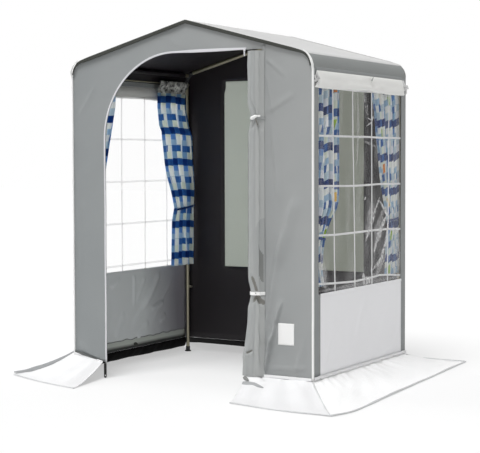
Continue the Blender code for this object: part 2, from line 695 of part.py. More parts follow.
def flap(name, hem_start, hem_end, outer, columns, mat, hem_z=lambda u: HEM_Z,
         steep=lambda u: 1.6):
    """Make a flap from its hem line to the outer edge that outer(u) gives on the ground."""
    def surface(u, v):
        hem = Vector(hem_start).lerp(Vector(hem_end), u)
        edge = Vector(outer(u))
        flat = hem.lerp(edge, v)
        fold = 0.5 - 0.5 * math.cos(2 * math.pi * (3.0 * u + 0.15))
        lift = (hem_z(u) - 0.004) * max(1 - v, 0.0) ** steep(u)
        lift += 0.010 * fold * math.sin(math.pi * min(max(v, 0), 1))
        return (flat.x, flat.y, CLOTH / 2 + 0.0001 + lift)

    bm = bmesh.new()
    add_sheet(bm, surface, columns, 4, 0.0020)
    finish(name, bm, mat, (0, 0, 0), 50)


def flaps(white):
    """Make the five flaps, with a narrow gap where two of them meet at a corner."""
    x, y = WALL_X - CLOTH / 2, WALL_Y - CLOTH / 2
    seam = 0.0020
    corner = (1.100, -FLAP_Y)

    def right_edge(u):
        along = blend(corner[1] + 0.005, FLAP_Y - 0.002, u)
        bulge = 0.045 * math.exp(-((u - 0.07) / 0.10) ** 2) - 0.022 * math.sin(math.pi * u)
        back = -0.070 * smoothstep(0.55, 1.0, u)
        return (corner[0] + seam + bulge + back, along)

    def front_right_edge(u):
        return (blend(0.478, corner[0] - seam, u),
                blend(-0.974, corner[1] + 0.002, u) + 0.010 * math.sin(math.pi * u))

    def front_left_edge(u):
        return (blend(-FLAP_X + 0.004, -0.521, u),
                blend(-0.8035, -1.020, u) - 0.020 * math.sin(math.pi * u))

    def left_edge(u):
        return (blend(-FLAP_X + 0.002, -1.100, u) + 0.015 * math.sin(3 * math.pi * u),
                blend(-0.7995, 0.985, u))

    def back_edge(u):
        return (blend(-1.096, 1.028, u), blend(0.988, FLAP_Y - 0.002, u) - 0.020 * math.sin(math.pi * u))

    def left_hem_z(u):
        return blend(CORNER_HEM_Z - 0.003, HEM_Z, min(u / 0.0505, 1.0))

    def left_steep(u):
        return blend(1.6, 3.2, smoothstep(0.0, 0.25, u))

    flap("flap_right", (x, -y + 0.004), (x, y), right_edge, 16, white)
    flap("flap_front_right", (0.420, -y), (x - 0.004, -y), front_right_edge, 8, white)
    flap("flap_front_left", (-x + 0.004, -y), (-0.602, -y), front_left_edge, 8, white,
         lambda u: blend(CORNER_HEM_Z, 0.0995, u))
    flap("flap_left", (-x, -y + 0.004), (-x, y), left_edge, 20, white, left_hem_z, left_steep)
    flap("flap_back", (-x + 0.004, y), (x - 0.004, y), back_edge, 11, white)


# Curtains

def curtain_shape(tag, z):
    """Return a curtain's inner edge, outer edge and mean plane at one height."""
    rows = CURTAIN_SHAPES[tag]
    for high, low in zip(rows, rows[1:]):
        if z >= low[0]:
            share = min((high[0] - z) / (high[0] - low[0]), 1.0)
            return [blend(a, b, share) for a, b in zip(high[1:], low[1:])]
    return rows[-1][1:]


def curtain(x_side, y_side, mat):
    """Make one curtain with its main folds and the rings that slide on the rail."""
    tag = end_name(x_side, y_side)
    heights = [row[0] for row in CURTAIN_SHAPES[tag]]

    def surface(u, v):
        place = min(max(v, 0.0), 1.0) * (len(heights) - 1)
        row = min(int(place), len(heights) - 2)
        z = blend(heights[row], heights[row + 1], place - row)
        inner, outer, plane = curtain_shape(tag, z)
        width = outer - inner
        depth = min(FOLD_DEPTH, width * width / 0.9)
        x = plane + depth * math.cos(2 * math.pi * FOLDS * u)
        return (x_side * x, y_side * blend(outer, inner, u), z)

    bm = bmesh.new()
    add_sheet(bm, surface, FOLDS * 6, len(heights) - 1, 0.0022)
    made = finish(f"curtain_{tag}", bm, mat, (x_side * RAIL_X, 0, RAIL_Z), 50)
    rings = bmesh.new()
    inner, outer, _ = curtain_shape(tag, CURTAIN_TOP_Z)
    for fold in range(FOLDS):
        y = y_side * blend(outer, inner, (fold + 0.25) / FOLDS)
        add_ring(rings, (x_side * RAIL_X, y, RAIL_Z))
    boolean(made, helper(f"curtain_rings_{tag}", rings), "UNION")


def add_ring(bm, centre):
    """Add a curtain ring about the rail's axis."""
    major, minor = 0.0074, 0.0014
    loops = []
    for i in range(12):
        turn = 2 * math.pi * i / 12
        out = Vector((math.cos(turn), 0, math.sin(turn)))
        loops.append([Vector(centre) + out * (major + minor * math.cos(a))
                      + Vector((0, 1, 0)) * minor * math.sin(a)
                      for a in (2 * math.pi * k / 6 for k in range(6))])
    add_loft(bm, loops, closed=True)


def main():
    """Build the tent."""
    clear_scene()
    steel = material("galvanised steel tube", "A9A79C", 0.35, 0.9)
    nylon = material("moulded nylon", "3A3D3F", 0.5)
    brass = material("zinc plated screw", "B9B6AC", 0.35, 0.9)
    roof = material("coated polyester, light grey", "DCDCDC", 0.7)
    wall = material("coated polyester, mid grey", "989B9A", 0.75)
    panel = material("pvc panel, pale grey", "CDCDCF", 0.55)
    clear = material("clear pvc film", "DDE3E2", 0.08, 0.0, 0.3)
    cover = material("coated polyester, cover", "D4D4D1", 0.7)
    rear = material("coated polyester, back cover", "929C96", 0.7)
    white = material("white pvc flap", "F2F2F2", 0.5)
    cotton = material("printed cotton", "7FA0C8", 0.9)
    tape = material("white tape", "ECECEC", 0.6)
    rubber = material("black rubber", "1E1E1E", 0.7)

    frame_parts(steel, nylon, brass)
    roof_cover(roof)
    front_wall(wall)
    back_wall(wall)
    side_wall(1, RIGHT_SILL_Z, wall)
    side_wall(-1, LEFT_SILL_Z, wall)
    side_window(1, RIGHT_SILL_Z, clear)
    side_window(-1, LEFT_SILL_Z, clear)
    window("back_window", (-BACK_WINDOW_X + GAP, BACK_SILL_Z + GAP),
           (BACK_WINDOW_X - GAP, WINDOW_TOP_Z - GAP), WALL_Y - CLOTH / 2, [], [],
           lambda a, b, d: (a, d, b), clear)
    lower_panel(1, RIGHT_SILL_Z, panel)
    lower_panel(-1, LEFT_SILL_Z, panel)
    rolled_cover(1, cover)
    rolled_cover(-1, cover)
    back_cover(rear)
    door_roll(wall)
    door_tie("door_tie_upper", TIE_ZS[0], tape)
    door_tie("door_tie_lower", TIE_ZS[1], tape)
    zip_slider(tape)
    peg_loop(rubber)
    flaps(white)
    for x_side in (-1, 1):
        for y_side in (-1, 1):
            curtain(x_side, y_side, cotton)


main()
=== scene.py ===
# %% [markdown]
# # Dressing a kitchen tent
# A kitchen tent is a steel frame with a sewn cover: a roof sheet, four walls, clear windows with
# folded covers, a zipped door that is rolled aside, curtains and flaps along the ground.
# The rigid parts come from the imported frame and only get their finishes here.
# Each sheet of cloth is built again as a thin closed sheet with its own waves, creases and trim.

# %% Frame
import math

import bpy
import numpy as np
from mathutils import Matrix, Vector, noise


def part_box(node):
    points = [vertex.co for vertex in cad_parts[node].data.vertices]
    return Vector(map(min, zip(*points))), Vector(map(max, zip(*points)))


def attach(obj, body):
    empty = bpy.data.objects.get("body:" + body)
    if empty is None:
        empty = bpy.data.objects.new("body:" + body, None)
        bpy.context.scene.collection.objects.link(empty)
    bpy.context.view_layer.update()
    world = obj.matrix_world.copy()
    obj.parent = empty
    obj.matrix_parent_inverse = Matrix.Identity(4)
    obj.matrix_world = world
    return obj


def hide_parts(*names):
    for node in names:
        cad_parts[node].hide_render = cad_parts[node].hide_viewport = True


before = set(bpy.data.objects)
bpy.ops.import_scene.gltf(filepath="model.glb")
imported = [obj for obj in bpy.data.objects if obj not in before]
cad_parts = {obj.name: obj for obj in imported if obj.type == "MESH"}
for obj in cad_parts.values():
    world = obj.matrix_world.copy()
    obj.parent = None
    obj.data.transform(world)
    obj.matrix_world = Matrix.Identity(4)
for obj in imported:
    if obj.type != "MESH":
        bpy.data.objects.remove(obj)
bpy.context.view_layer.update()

# %% [markdown]
# ## Camera
# The tent is seen from the right of its door at chest height, from far off with a long lens, so
# that its upright edges stay almost parallel. The lens and place were solved from its corners.

# %% Camera
LENS_MM = 102.146
CAMERA_PLACE = Vector((4.21064, -7.19823, 1.30964))
CAMERA_TURN_DEG = (90 - 2.8463, -0.1596, 30.4198)

camera = bpy.data.objects.new("camera", bpy.data.cameras.new("camera"))
camera.data.lens = LENS_MM
camera.data.sensor_width = 36.0
tilt, roll, heading = (math.radians(angle) for angle in CAMERA_TURN_DEG)
camera.matrix_world = (Matrix.Translation(CAMERA_PLACE) @ Matrix.Rotation(heading, 4, "Z")
                       @ Matrix.Rotation(tilt, 4, "X") @ Matrix.Rotation(roll, 4, "Z"))
bpy.context.scene.collection.objects.link(camera)
bpy.context.scene.camera = camera
bpy.context.scene.view_settings.view_transform = "Standard"
print("the camera stands", round(CAMERA_PLACE.length, 2), "m from the tent's middle")

# %% [markdown]
# ## Colours and nodes
# Hex colours are written as a screen shows them, and Blender works in linear light, so one
# function turns them. A second one adds a shader node with its settings and its inputs, and the
# ones after it add the kinds of node that come up most.

# %% Colour and node helpers
WHITE = (1, 1, 1, 1)


def linear(hex_colour):
    """Turn an sRGB hex colour to linear RGBA."""
    channels = [int(hex_colour[i:i + 2], 16) / 255 for i in (0, 2, 4)]
    values = [c / 12.92 if c <= 0.04045 else ((c + 0.055) / 1.055) ** 2.4 for c in channels]
    return (*values, 1.0)


def add(tree, kind, inputs=None, **settings):
    """Add a node; an input is a value, a socket, or a node that stands for its first output."""
    node = tree.nodes.new("ShaderNode" + kind)
    for name, value in settings.items():
        setattr(node, name, value)
    for socket, value in (inputs or {}).items():
        if isinstance(value, bpy.types.Node):
            value = next(output for output in value.outputs if output.enabled)
        if isinstance(value, bpy.types.NodeSocket):
            tree.links.new(value, node.inputs[socket])
        else:
            node.inputs[socket].default_value = value
    return node


def reckon(tree, operation, *numbers, **settings):
    """Add a node that reckons with numbers."""
    return add(tree, "Math", dict(enumerate(numbers)), operation=operation, **settings)


def mixed(tree, share, first, second):
    """Add a node that mixes two shaders."""
    return add(tree, "MixShader", {0: share, 1: first, 2: second})


def shaded(tree, share, dark_hex, light_hex):
    """Add a node that mixes two colours."""
    ends = {"A": linear(dark_hex), "B": linear(light_hex)}
    return add(tree, "Mix", {**ends, "Factor": share}, data_type="RGBA")


def spread(tree, value, low, high, **limits):
    """Add a node that maps a value onto the numbers from low to high."""
    ends = {name.replace("_", " ").title(): limit for name, limit in limits.items()}
    return add(tree, "MapRange", {"Value": value, "To Min": low, "To Max": high, **ends})


def new_finish(name):
    """Make an empty material and return it with its node tree."""
    made = bpy.data.materials.new(name)
    made.use_nodes = True
    made.node_tree.nodes.clear()
    return made, made.node_tree


print("mid grey 989B9A is", [round(c, 3) for c in linear("989B9A")[:3]], "in linear light")

# %% [markdown]
# ## Light and floor
# Product light: one broad sun from the front and above, a weaker one from the left that shines
# through the curtains, and an even sky. The white backdrop is the sky as the camera sees it. The
# floor is white and keeps a faint shadow, because part of what is seen of it is its own light.

# %% Light and floor
SKY_LEVEL = 0.38
SUN_LEVEL = 2.32
SUN_FROM = Vector((0.03, -0.336, 0.66))
FILL_LEVEL = 1.15
FILL_FROM = Vector((-1.0, -0.10, 0.26))
SUN_SOFT_DEG, FILL_SOFT_DEG = 30, 40
FLOOR_OWN_LIGHT = 0.47
FLOOR_HALF = 40.0


def seen_directly(tree):
    """Return 1 for rays from the camera, mirror rays and rays through glass, else 0."""
    ray = add(tree, "LightPath").outputs
    glossy = reckon(tree, "MAXIMUM", ray["Is Camera Ray"], ray["Is Glossy Ray"])
    return reckon(tree, "MAXIMUM", glossy, ray["Is Transmission Ray"])


world = bpy.data.worlds.new("white studio")
bpy.context.scene.world = world
world.use_nodes = True
tree = world.node_tree
tree.nodes.clear()
sky = add(tree, "Background", {"Color": WHITE, "Strength": SKY_LEVEL})
backdrop = add(tree, "Background", {"Color": WHITE, "Strength": 1.0})
add(tree, "OutputWorld", {"Surface": mixed(tree, seen_directly(tree), sky, backdrop)})

for name, level, direction, soft_deg in (("sun", SUN_LEVEL, SUN_FROM, SUN_SOFT_DEG),
                                         ("fill", FILL_LEVEL, FILL_FROM, FILL_SOFT_DEG)):
    lamp = bpy.data.objects.new(name, bpy.data.lights.new(name, "SUN"))
    lamp.data.energy = level
    lamp.data.angle = math.radians(soft_deg)
    lamp.matrix_world = direction.to_track_quat("Z", "Y").to_matrix().to_4x4()
    bpy.context.scene.collection.objects.link(lamp)

floor_paint, tree = new_finish("white painted floor")
matt = add(tree, "BsdfDiffuse", {"Color": linear("F4F4F4")})
own = add(tree, "Emission", {"Color": WHITE, "Strength": 1.0})
share = reckon(tree, "MULTIPLY", seen_directly(tree), FLOOR_OWN_LIGHT)
add(tree, "OutputMaterial", {"Surface": mixed(tree, share, matt, own)})

floor_mesh = bpy.data.meshes.new("floor")
corners = [(x * FLOOR_HALF, y * FLOOR_HALF, 0) for x, y in ((-1, -1), (1, -1), (1, 1), (-1, 1))]
floor_mesh.from_pydata(corners, [], [(0, 1, 2, 3)])
floor_mesh.materials.append(floor_paint)
floor = bpy.data.objects.new("floor", floor_mesh)
bpy.context.scene.collection.objects.link(floor)
print("the sky gives", SKY_LEVEL, "and the sun", round(SUN_LEVEL / math.pi, 2), "of full white")

# %% [markdown]
# ## The tent's main sizes
# These are the frame's own sizes, in metres, so that every sheet meets its neighbours.

# %% Sizes
WALL_X, WALL_Y = 0.81, 0.625
HEM_Z, CORNER_HEM_Z, RIDGE_Z, SLOPE = 0.095, 0.138, 2.10, 0.27
PITCH = math.atan(SLOPE)
SHOULDER_R = 0.095
SHOULDER_X = WALL_X - SHOULDER_R
SHOULDER_Z = RIDGE_Z - SLOPE * SHOULDER_X - SHOULDER_R / math.cos(PITCH)
ROOF_EDGE_DEG = 50.0
TOP_DEG = 90 - math.degrees(PITCH)
ROOF_HALF_Y = WALL_Y + 0.012
CLOTH = 0.0022
JAMB_X, SEAM_X = -0.572, 0.495
ARCH_Z, ARCH_R = 1.429, 0.486
ARCH_X, DOOR_TOP_Z = JAMB_X + ARCH_R, ARCH_Z + ARCH_R
WINDOW_Y, WINDOW_TOP_Z = 0.557, 1.800
SILL_Z = {1: 0.562, -1: 0.595}
SIDE = {1: "right", -1: "left"}
print("the walls stand", 2 * WALL_X, "by", 2 * WALL_Y, "m and the eave turns at", round(SHOULDER_Z, 3))

# %% [markdown]
# ## Mesh helpers
# Cloth is drawn as a table of points: one function turns such a table into faces, and keeps
# each point's place on the flat cut as a UV map, so that a print follows the folds.
# A second one sweeps a flat or round section along a path, which makes tapes and piping.

# %% Mesh helpers
FULL_TURN = np.linspace(0, 2 * math.pi, 41)


def ramp(low, high, value):
    """Rise smoothly from 0 to 1 as a value goes from low to high, which may be the smaller one."""
    share = np.clip((value - low) / (high - low), 0.0, 1.0)
    return share * share * (3 - 2 * share)


def bump(middle, width, value):
    """Return a smooth bump of height 1 round a middle value."""
    return np.exp(-((value - middle) / width) ** 2)


def xyz(x, y, z):
    """Return points from their three coordinates, of which some may be one number."""
    return np.stack(np.broadcast_arrays(x, y, z), axis=-1)


def grid(rows, columns):
    """Return a table of each point's row value and one of its column value."""
    return np.meshgrid(rows, columns, indexing="ij")


def stepped(start, *stops):
    """Return rising numbers; a stop says to which value and with how many numbers from the last one."""
    parts = [[start]]
    for end, count in stops:
        parts.append(np.linspace(start, end, count)[1:])
        start = end
    return np.concatenate(parts)


def strips(edges, low, high):
    """Tell which strips between neighbouring edges lie between two levels."""
    return (edges[:-1] >= low - 1e-6) & (edges[1:] <= high + 1e-6)


def swell(start, end, count, power):
    """Return widths that swell and end in tips, cut off at the shares start and end."""
    return np.sin(math.pi * np.linspace(start, end, count)) ** power


def rounded(girth, less):
    """Return the girths of a short bar that is less by a share at its ends."""
    return girth * (1 - less * np.abs(np.linspace(-1, 1, 12)) ** 4)


def ripple(a, b, size, seed):
    """Return smooth noise, about -1 to 1, with bumps about size metres wide; a seed gives it its form."""
    a, b = np.broadcast_arrays(a, b)
    flat = [noise.noise(Vector((p / size, q / size, seed))) for p, q in zip(a.ravel(), b.ravel())]
    return np.array(flat).reshape(a.shape)


def crease(a, b, start, end, width, height):
    """Return a pressed fold from start to end, steep on one side, that fades at its ends."""
    run = math.dist(start, end)
    along_a, along_b = (end[0] - start[0]) / run, (end[1] - start[1]) / run
    along = (a - start[0]) * along_a + (b - start[1]) * along_b
    across = (b - start[1]) * along_a - (a - start[0]) * along_b
    fade = ramp(-0.1 * run, 0.2 * run, along) * (1 - ramp(0.8 * run, 1.1 * run, along))
    return height * fade * bump(0.0, np.where(across > 0, width, 0.4 * width), across)


def creased(rise, a, b, folds):
    """Add pressed folds to a relief."""
    for start, end, width, height in folds:
        rise = rise + crease(a, b, start, end, width, height)
    return rise


def link(name, mesh):
    """Make an object of a mesh."""
    mesh.validate()
    made = bpy.data.objects.new(name, mesh)
    bpy.context.scene.collection.objects.link(made)
    return made


def surface(name, points, cloth=None, ring=False, left_out=None, marks=None, out=None):
    """Turn a table of points into an object; out is a direction that its outer side faces."""
    rows, columns = points.shape[:2]
    index = np.arange(rows * columns).reshape(rows, columns)
    place = np.indices((rows, columns)).transpose(1, 2, 0)
    if ring:
        index = np.concatenate([index, index[:, :1]], axis=1)
        place = np.indices((rows, columns + 1)).transpose(1, 2, 0)
    low, high = slice(None, -1), slice(1, None)
    around = [(low, low), (low, high), (high, high), (high, low)]
    quads = np.stack([index[part] for part in around], axis=-1)
    keep = np.ones(quads.shape[:2], bool) if left_out is None else ~left_out
    faces = quads[keep]
    corners = np.stack([place[part] for part in around], axis=2)[keep]
    spots = points.reshape(-1, 3)
    if out is not None:
        one, two = spots[faces[:, 2]] - spots[faces[:, 0]], spots[faces[:, 3]] - spots[faces[:, 1]]
        if (np.cross(one, two) @ np.array(out)).sum() < 0:
            faces, corners = faces[:, ::-1], corners[:, ::-1]
    mesh = bpy.data.meshes.new(name)
    mesh.from_pydata(spots.tolist(), [], faces.tolist())
    if cloth is not None:
        layer = mesh.uv_layers.new(name="cloth")
        flat = corners.reshape(-1, 2)
        layer.data.foreach_set("uv", cloth[flat[:, 0], flat[:, 1]].astype(np.float32).ravel())
    if marks is not None:
        mesh.polygons.foreach_set("material_index", marks[keep].astype(np.int32))
    mesh.shade_smooth()
    return link(name, mesh)


def thicken(piece, thickness=CLOTH, inside=0):
    """Give a sheet its thickness inwards; inside steps to another of its finishes."""
    solid = piece.modifiers.new("cloth", "SOLIDIFY")
    solid.thickness = thickness
    solid.offset = -1.0
    solid.use_even_offset = False
    solid.material_offset = inside
    return piece


def swept(name, path, out, width, depth, sides=8, square=0.4):
    """Sweep a section, flat on the side that out points away from, along a path and cap its ends."""
    path = np.array(path, float)
    out = np.broadcast_to(np.array(out, float), path.shape)
    along = np.gradient(path, axis=0)
    along /= np.linalg.norm(along, axis=1, keepdims=True)
    out = out - (out * along).sum(1, keepdims=True) * along
    out /= np.linalg.norm(out, axis=1, keepdims=True)
    across = np.cross(along, out)
    turn = 2 * np.pi * (np.arange(sides) + 0.5) / sides
    side = np.sign(np.cos(turn)) * np.abs(np.cos(turn)) ** square
    lift = np.sign(np.sin(turn)) * np.abs(np.sin(turn)) ** square
    width = np.broadcast_to(width, len(path))[:, None, None]
    depth = np.broadcast_to(depth, len(path))[:, None, None]
    points = (path[:, None] + across[:, None] * side[None, :, None] * width / 2
              + out[:, None] * lift[None, :, None] * depth / 2)
    index = np.arange(len(path) * sides).reshape(len(path), sides)
    after = np.roll(index, -1, axis=1)
    faces = np.stack([index[:-1], after[:-1], after[1:], index[1:]], axis=-1).reshape(-1, 4)
    mesh = bpy.data.meshes.new(name)
    ends = [index[0][::-1].tolist(), index[-1].tolist()]
    mesh.from_pydata(points.reshape(-1, 3).tolist(), [], faces.tolist() + ends)
    mesh.shade_smooth()
    return link(name, mesh)


def join(name, pieces):
    """Join several mesh objects into one of a new name."""
    bpy.ops.object.select_all(action="DESELECT")
    for piece in pieces:
        piece.select_set(True)
    bpy.context.view_layer.objects.active = pieces[0]
    bpy.ops.object.join()
    pieces[0].name = name
    pieces[0].data.name = name
    return pieces[0]


def dress(piece, finishes, nodes=(), body="frame"):
    """Give a piece its finishes, its body and slot, and the solids that it stands for."""
    for finish in finishes:
        piece.data.materials.append(finish)
    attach(piece, body)
    if nodes:
        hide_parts(*nodes)
    print(piece.name, "has", len(piece.data.polygons), "faces and rides on", body)
    return piece


def tape(name, finish, path, out, width, depth, sides=8, square=0.4, body="frame"):
    """Sweep a tape, a hem or piping and give it its finish, slot and body."""
    return dress(swept(name, path, out, width, depth, sides, square), [finish], body=body)


def sampled(line, steps):
    """Return steps + 1 points spaced evenly along a line of points."""
    line = np.array(line, float)
    length = np.concatenate([[0], np.cumsum(np.linalg.norm(np.diff(line, axis=0), axis=1))])
    at = np.linspace(0, length[-1], steps + 1)
    return np.stack([np.interp(at, length, line[:, k]) for k in range(line.shape[1])], axis=1)


def shoulder(side, radius, start_deg, end_deg, steps=8):
    """Return (x, z) points round the rounded shoulder between two angles above level."""
    turn = np.radians(np.linspace(start_deg, end_deg, steps + 1))
    return [(side * (SHOULDER_X + radius * math.cos(a)), SHOULDER_Z + radius * math.sin(a))
            for a in turn]


def roof_z(x):
    """Return the height of the roof's slopes above a place across the tent."""
    return RIDGE_Z - SLOPE * np.abs(x)


print("the roof's slopes fall", round(math.degrees(PITCH), 1), "degrees")

# %% [markdown]
# ## Woven cloth with a coating
# The walls are polyester cloth, woven from fine threads and coated on the inside so that no
# rain comes through. The weave gives a matt face with a faint grain, and the coating is smooth
# and black. The threads are 0.4 mm apart, too fine to show, so they are drawn 2.4 mm apart.

# %% Cloth finishes
THREAD_PITCH, COTTON_PITCH = 0.0024, 0.0016
SHADE_SPOT = 0.30
PUCKER = 0.045


def weave(tree, pitch):
    """Return a value that goes up and down with crossing threads, and the place that it reads."""
    place = add(tree, "TexCoord").outputs["Object"]
    axes = add(tree, "SeparateXYZ", {0: place}).outputs
    level = reckon(tree, "ADD", axes["X"], axes["Y"])
    waves = [reckon(tree, "SINE", reckon(tree, "MULTIPLY", source, 2 * math.pi / pitch))
             for source in (level, axes["Z"])]
    return reckon(tree, "MULTIPLY", *waves), place


def coated_cloth(name, light_hex, dark_hex, roughness=0.66, grain=0.0003, pucker=0.0012, through=0.0,
                 colour_slope=None, shine=0.35, spot=SHADE_SPOT, contrast=1.0):
    """Make a woven coated cloth whose shade drifts, and whose colour may grow lighter along x, y and z."""
    made, tree = new_finish(name)
    threads, place = weave(tree, THREAD_PITCH)
    spots = add(tree, "TexNoise", {"Scale": 1 / spot, "Detail": 4.0, "Vector": place})
    lighter = reckon(tree, "MULTIPLY_ADD", spots, contrast, 0.5 - 0.5 * contrast, use_clamp=True)
    if colour_slope:
        slope = add(tree, "VectorMath", {0: place, 1: colour_slope[:3]}, operation="DOT_PRODUCT")
        slope_share = reckon(tree, "ADD", slope, colour_slope[3])
        lighter = reckon(tree, "MULTIPLY_ADD", lighter, 0.35, slope_share, use_clamp=True)
    colour = shaded(tree, lighter, dark_hex, light_hex)
    puckers = add(tree, "TexNoise", {"Scale": 1 / PUCKER, "Detail": 2.0, "Vector": place})
    soft = add(tree, "Bump", {"Strength": 0.35, "Distance": pucker, "Height": puckers})
    fine = add(tree, "Bump", {"Strength": 0.5, "Distance": grain, "Height": threads, "Normal": soft})
    rough = spread(tree, puckers, roughness - 0.06, roughness + 0.06)
    shader = add(tree, "BsdfPrincipled", {"Specular IOR Level": shine, "Base Color": colour,
                                          "Roughness": rough, "Normal": fine})
    if through:
        shader = mixed(tree, through, shader, add(tree, "BsdfTranslucent", {"Color": colour}))
    add(tree, "OutputMaterial", {"Surface": shader})
    return made


# The front cloth grows lighter towards the right and a little upwards.
front_cloth = coated_cloth("coated polyester, front", "A4A5A4", "898D8E", colour_slope=(0.34, 0.0, 0.09, 0.02))
wall_cloth = coated_cloth("coated polyester, mid grey", "959897", "8A8D8E")
seam_cloth = coated_cloth("coated polyester, doubled seam", "A0A3A2", "979A99")
roll_cloth = coated_cloth("coated polyester, rolled", "A0A2A1", "979A9A", 0.60, pucker=0.004)
# A lighter copy of the door cloth is painted light on the lap, where the rolled door meets the wall.
lap_light_cloth = coated_cloth("coated polyester, lapped edge, painted light", "ABADAC", "A2A4A3")
# A darker copy of the wall cloth is painted shade: on the side walls under the eave, and as a line along
# the left wall's inner hem.
wall_shade_cloth = coated_cloth("coated polyester, painted shade under the eave", "8B8E8D", "838685")
# A darker copy of the door cloth is painted shade: on the rolled door's left edge and under its lap, and on
# a fold of the front flap.
fold_shade_cloth = coated_cloth("coated polyester, painted edge shade", "808280", "757775")
# This darker cloth is painted shade deep in the folds beside the door's ties; the ties' tails are cut from
# it too.
shaded_fold = coated_cloth("coated polyester, pinched fold, painted shade", "83827D", "6E6D68")
# A dark cloth for the strip at the front wall's left hem is painted shadow under its fold.
hem_shadow_cloth = coated_cloth("coated polyester, painted hem shadow", "6A6D6C", "5C5F5E", 0.70)
roof_cloth = coated_cloth("coated polyester, light grey", "D1D1D0", "C9C9C9", 0.62)
cover_cloth = coated_cloth("coated polyester, window cover", "ECECE9", "E4E4E1", 0.60)
# The back cover grows lighter towards the left.
back_cover_cloth = coated_cloth("coated polyester, back cover", "DDE1DB", "C3C6BD", 0.62, through=0.62,
                                colour_slope=(-1.4, 0.0, 0.0, 0.33))
black_coating = coated_cloth("black polyurethane coating", "2B272B", "242023", 0.50, grain=0.0001)
flap_coating = coated_cloth("black PVC coating", "0A090A", "060606", 0.90, grain=0.0001, shine=0.08)
# The grey lining grows darker towards the back: painted shade, where less light reaches inside the tent.
lining_cloth = coated_cloth("grey lining", "E0E4E5", "9C9AA2", 0.55, colour_slope=(0.0, -2.6, 0.0, 1.110))
# The inner hem's lining turns nearly black towards the ground: painted shadow along the foot of the wall.
hem_lining = coated_cloth("grey lining, doubled hem, painted shadow low", "C6CBC4", "2A2C2A", 0.60,
                          colour_slope=(0.0, 0.0, 50.0, -5.575))
pale_panel = coated_cloth("coated PVC panel, pale grey", "F4F4F6", "EEEEF0", 0.45, pucker=0.002)
white_flap = coated_cloth("coated PVC flap, white", "EEEEEF", "E8E8E9", 0.45, pucker=0.002)
# The right flap gets a whiter copy of the flap cloth: painted light, as the tent keeps the fill light off
# it.
side_flap_lit = coated_cloth("coated PVC flap, white, painted light", "FFFFFF", "FCFCFC", 0.45, pucker=0.002)
# A grey copy of the flap cloth is painted shade: on the strip along the left front hip and on a fold of the
# front flap.
hip_shade_cloth = coated_cloth("coated PVC flap, painted shade of the hip", "A6A8A9", "96989A", 0.50)
# The flaps' rolled edges are grey: painted shadow of the gap under their lifted edges.
flap_edge_shadow = coated_cloth("coated PVC flap, rolled edge, painted shadow", "D4D5D6", "C2C4C5", 0.50)
dark_edging = coated_cloth("woven edging, dark grey", "3C3E39", "31332F", 0.70)
white_tape = coated_cloth("woven tape, white", "F2F2F0", "E8E8E8", 0.60)
door_binding = coated_cloth("woven binding, pale grey", "D8D8DB", "CACACE", 0.60)
# The heading tape's strong dark mottle is painted shade of its crumples.
heading_tape = coated_cloth("cotton heading tape", "FFFFFA", "2E2E2C", 0.85, pucker=0.010, through=0.30,
                            spot=0.030, contrast=3.0)
tie_cotton = coated_cloth("dark blue cotton", "2A4783", "1E3868", 0.85)
bar_finishes = {1: coated_cloth("white PVC bar", "F8F8F8", "F2F2F2", 0.40, through=0.35),
                -1: coated_cloth("white PVC bar, lit from behind", "F8F8F8", "F2F2F2", 0.40, through=0.80)}
print("the weave is drawn", THREAD_PITCH * 1000, "mm apart on", len(bpy.data.materials), "finishes")

# %% [markdown]
# ## Clear film
# The windows are soft clear PVC. It takes a little of the light, mirrors a little of the sky,
# more at a flat angle, and has a thin haze. Its crease marks are thin white slivers that lie on
# the film: partly the whitening of old folds, partly painted highlights where the folds catch light.

# %% Film finishes
# Streaks run up and down, so height counts less. The veil grows backwards and towards the ground.
STREAK = (1.0, 1.0, 0.22)
LOW_BACK = (0.0, 1.0, -0.8)


def clear_film(name, passed, mirrored, haze, veil=0.0):
    """Make a clear film: what a face lets through and mirrors, its streaks, and a veil low at the back."""
    made, tree = new_finish(name)
    place = add(tree, "TexCoord").outputs["Object"]
    streaked = add(tree, "VectorMath", {0: place, 1: STREAK}, operation="MULTIPLY")
    drift = add(tree, "TexNoise", {"Scale": 14.0, "Detail": 6.0, "Roughness": 0.65, "Vector": streaked})
    white = spread(tree, drift, 0.0, haze, from_min=0.48, from_max=0.72)
    low_back = add(tree, "VectorMath", {0: place, 1: LOW_BACK}, operation="DOT_PRODUCT")
    veiled = spread(tree, low_back, 0.0, veil, from_min=-0.86, from_max=-0.30)
    white = reckon(tree, "ADD", white, veiled)
    creased = add(tree, "Bump", {"Strength": 0.4, "Distance": 0.003, "Height": drift})
    clear = add(tree, "BsdfTransparent", {"Color": (passed, passed, passed, 1)})
    mirror = add(tree, "BsdfGlossy", {"Color": WHITE, "Roughness": 0.06, "Normal": creased})
    facing = add(tree, "LayerWeight", {"Blend": 0.5, "Normal": creased}).outputs["Facing"]
    share = spread(tree, reckon(tree, "POWER", facing, 4.0), mirrored, 18 * mirrored)
    glossy = mixed(tree, share, clear, mirror)
    milk = add(tree, "BsdfPrincipled", {"Base Color": linear("F0F0F0"), "Roughness": 0.35})
    add(tree, "OutputMaterial", {"Surface": mixed(tree, white, glossy, milk)})
    return made


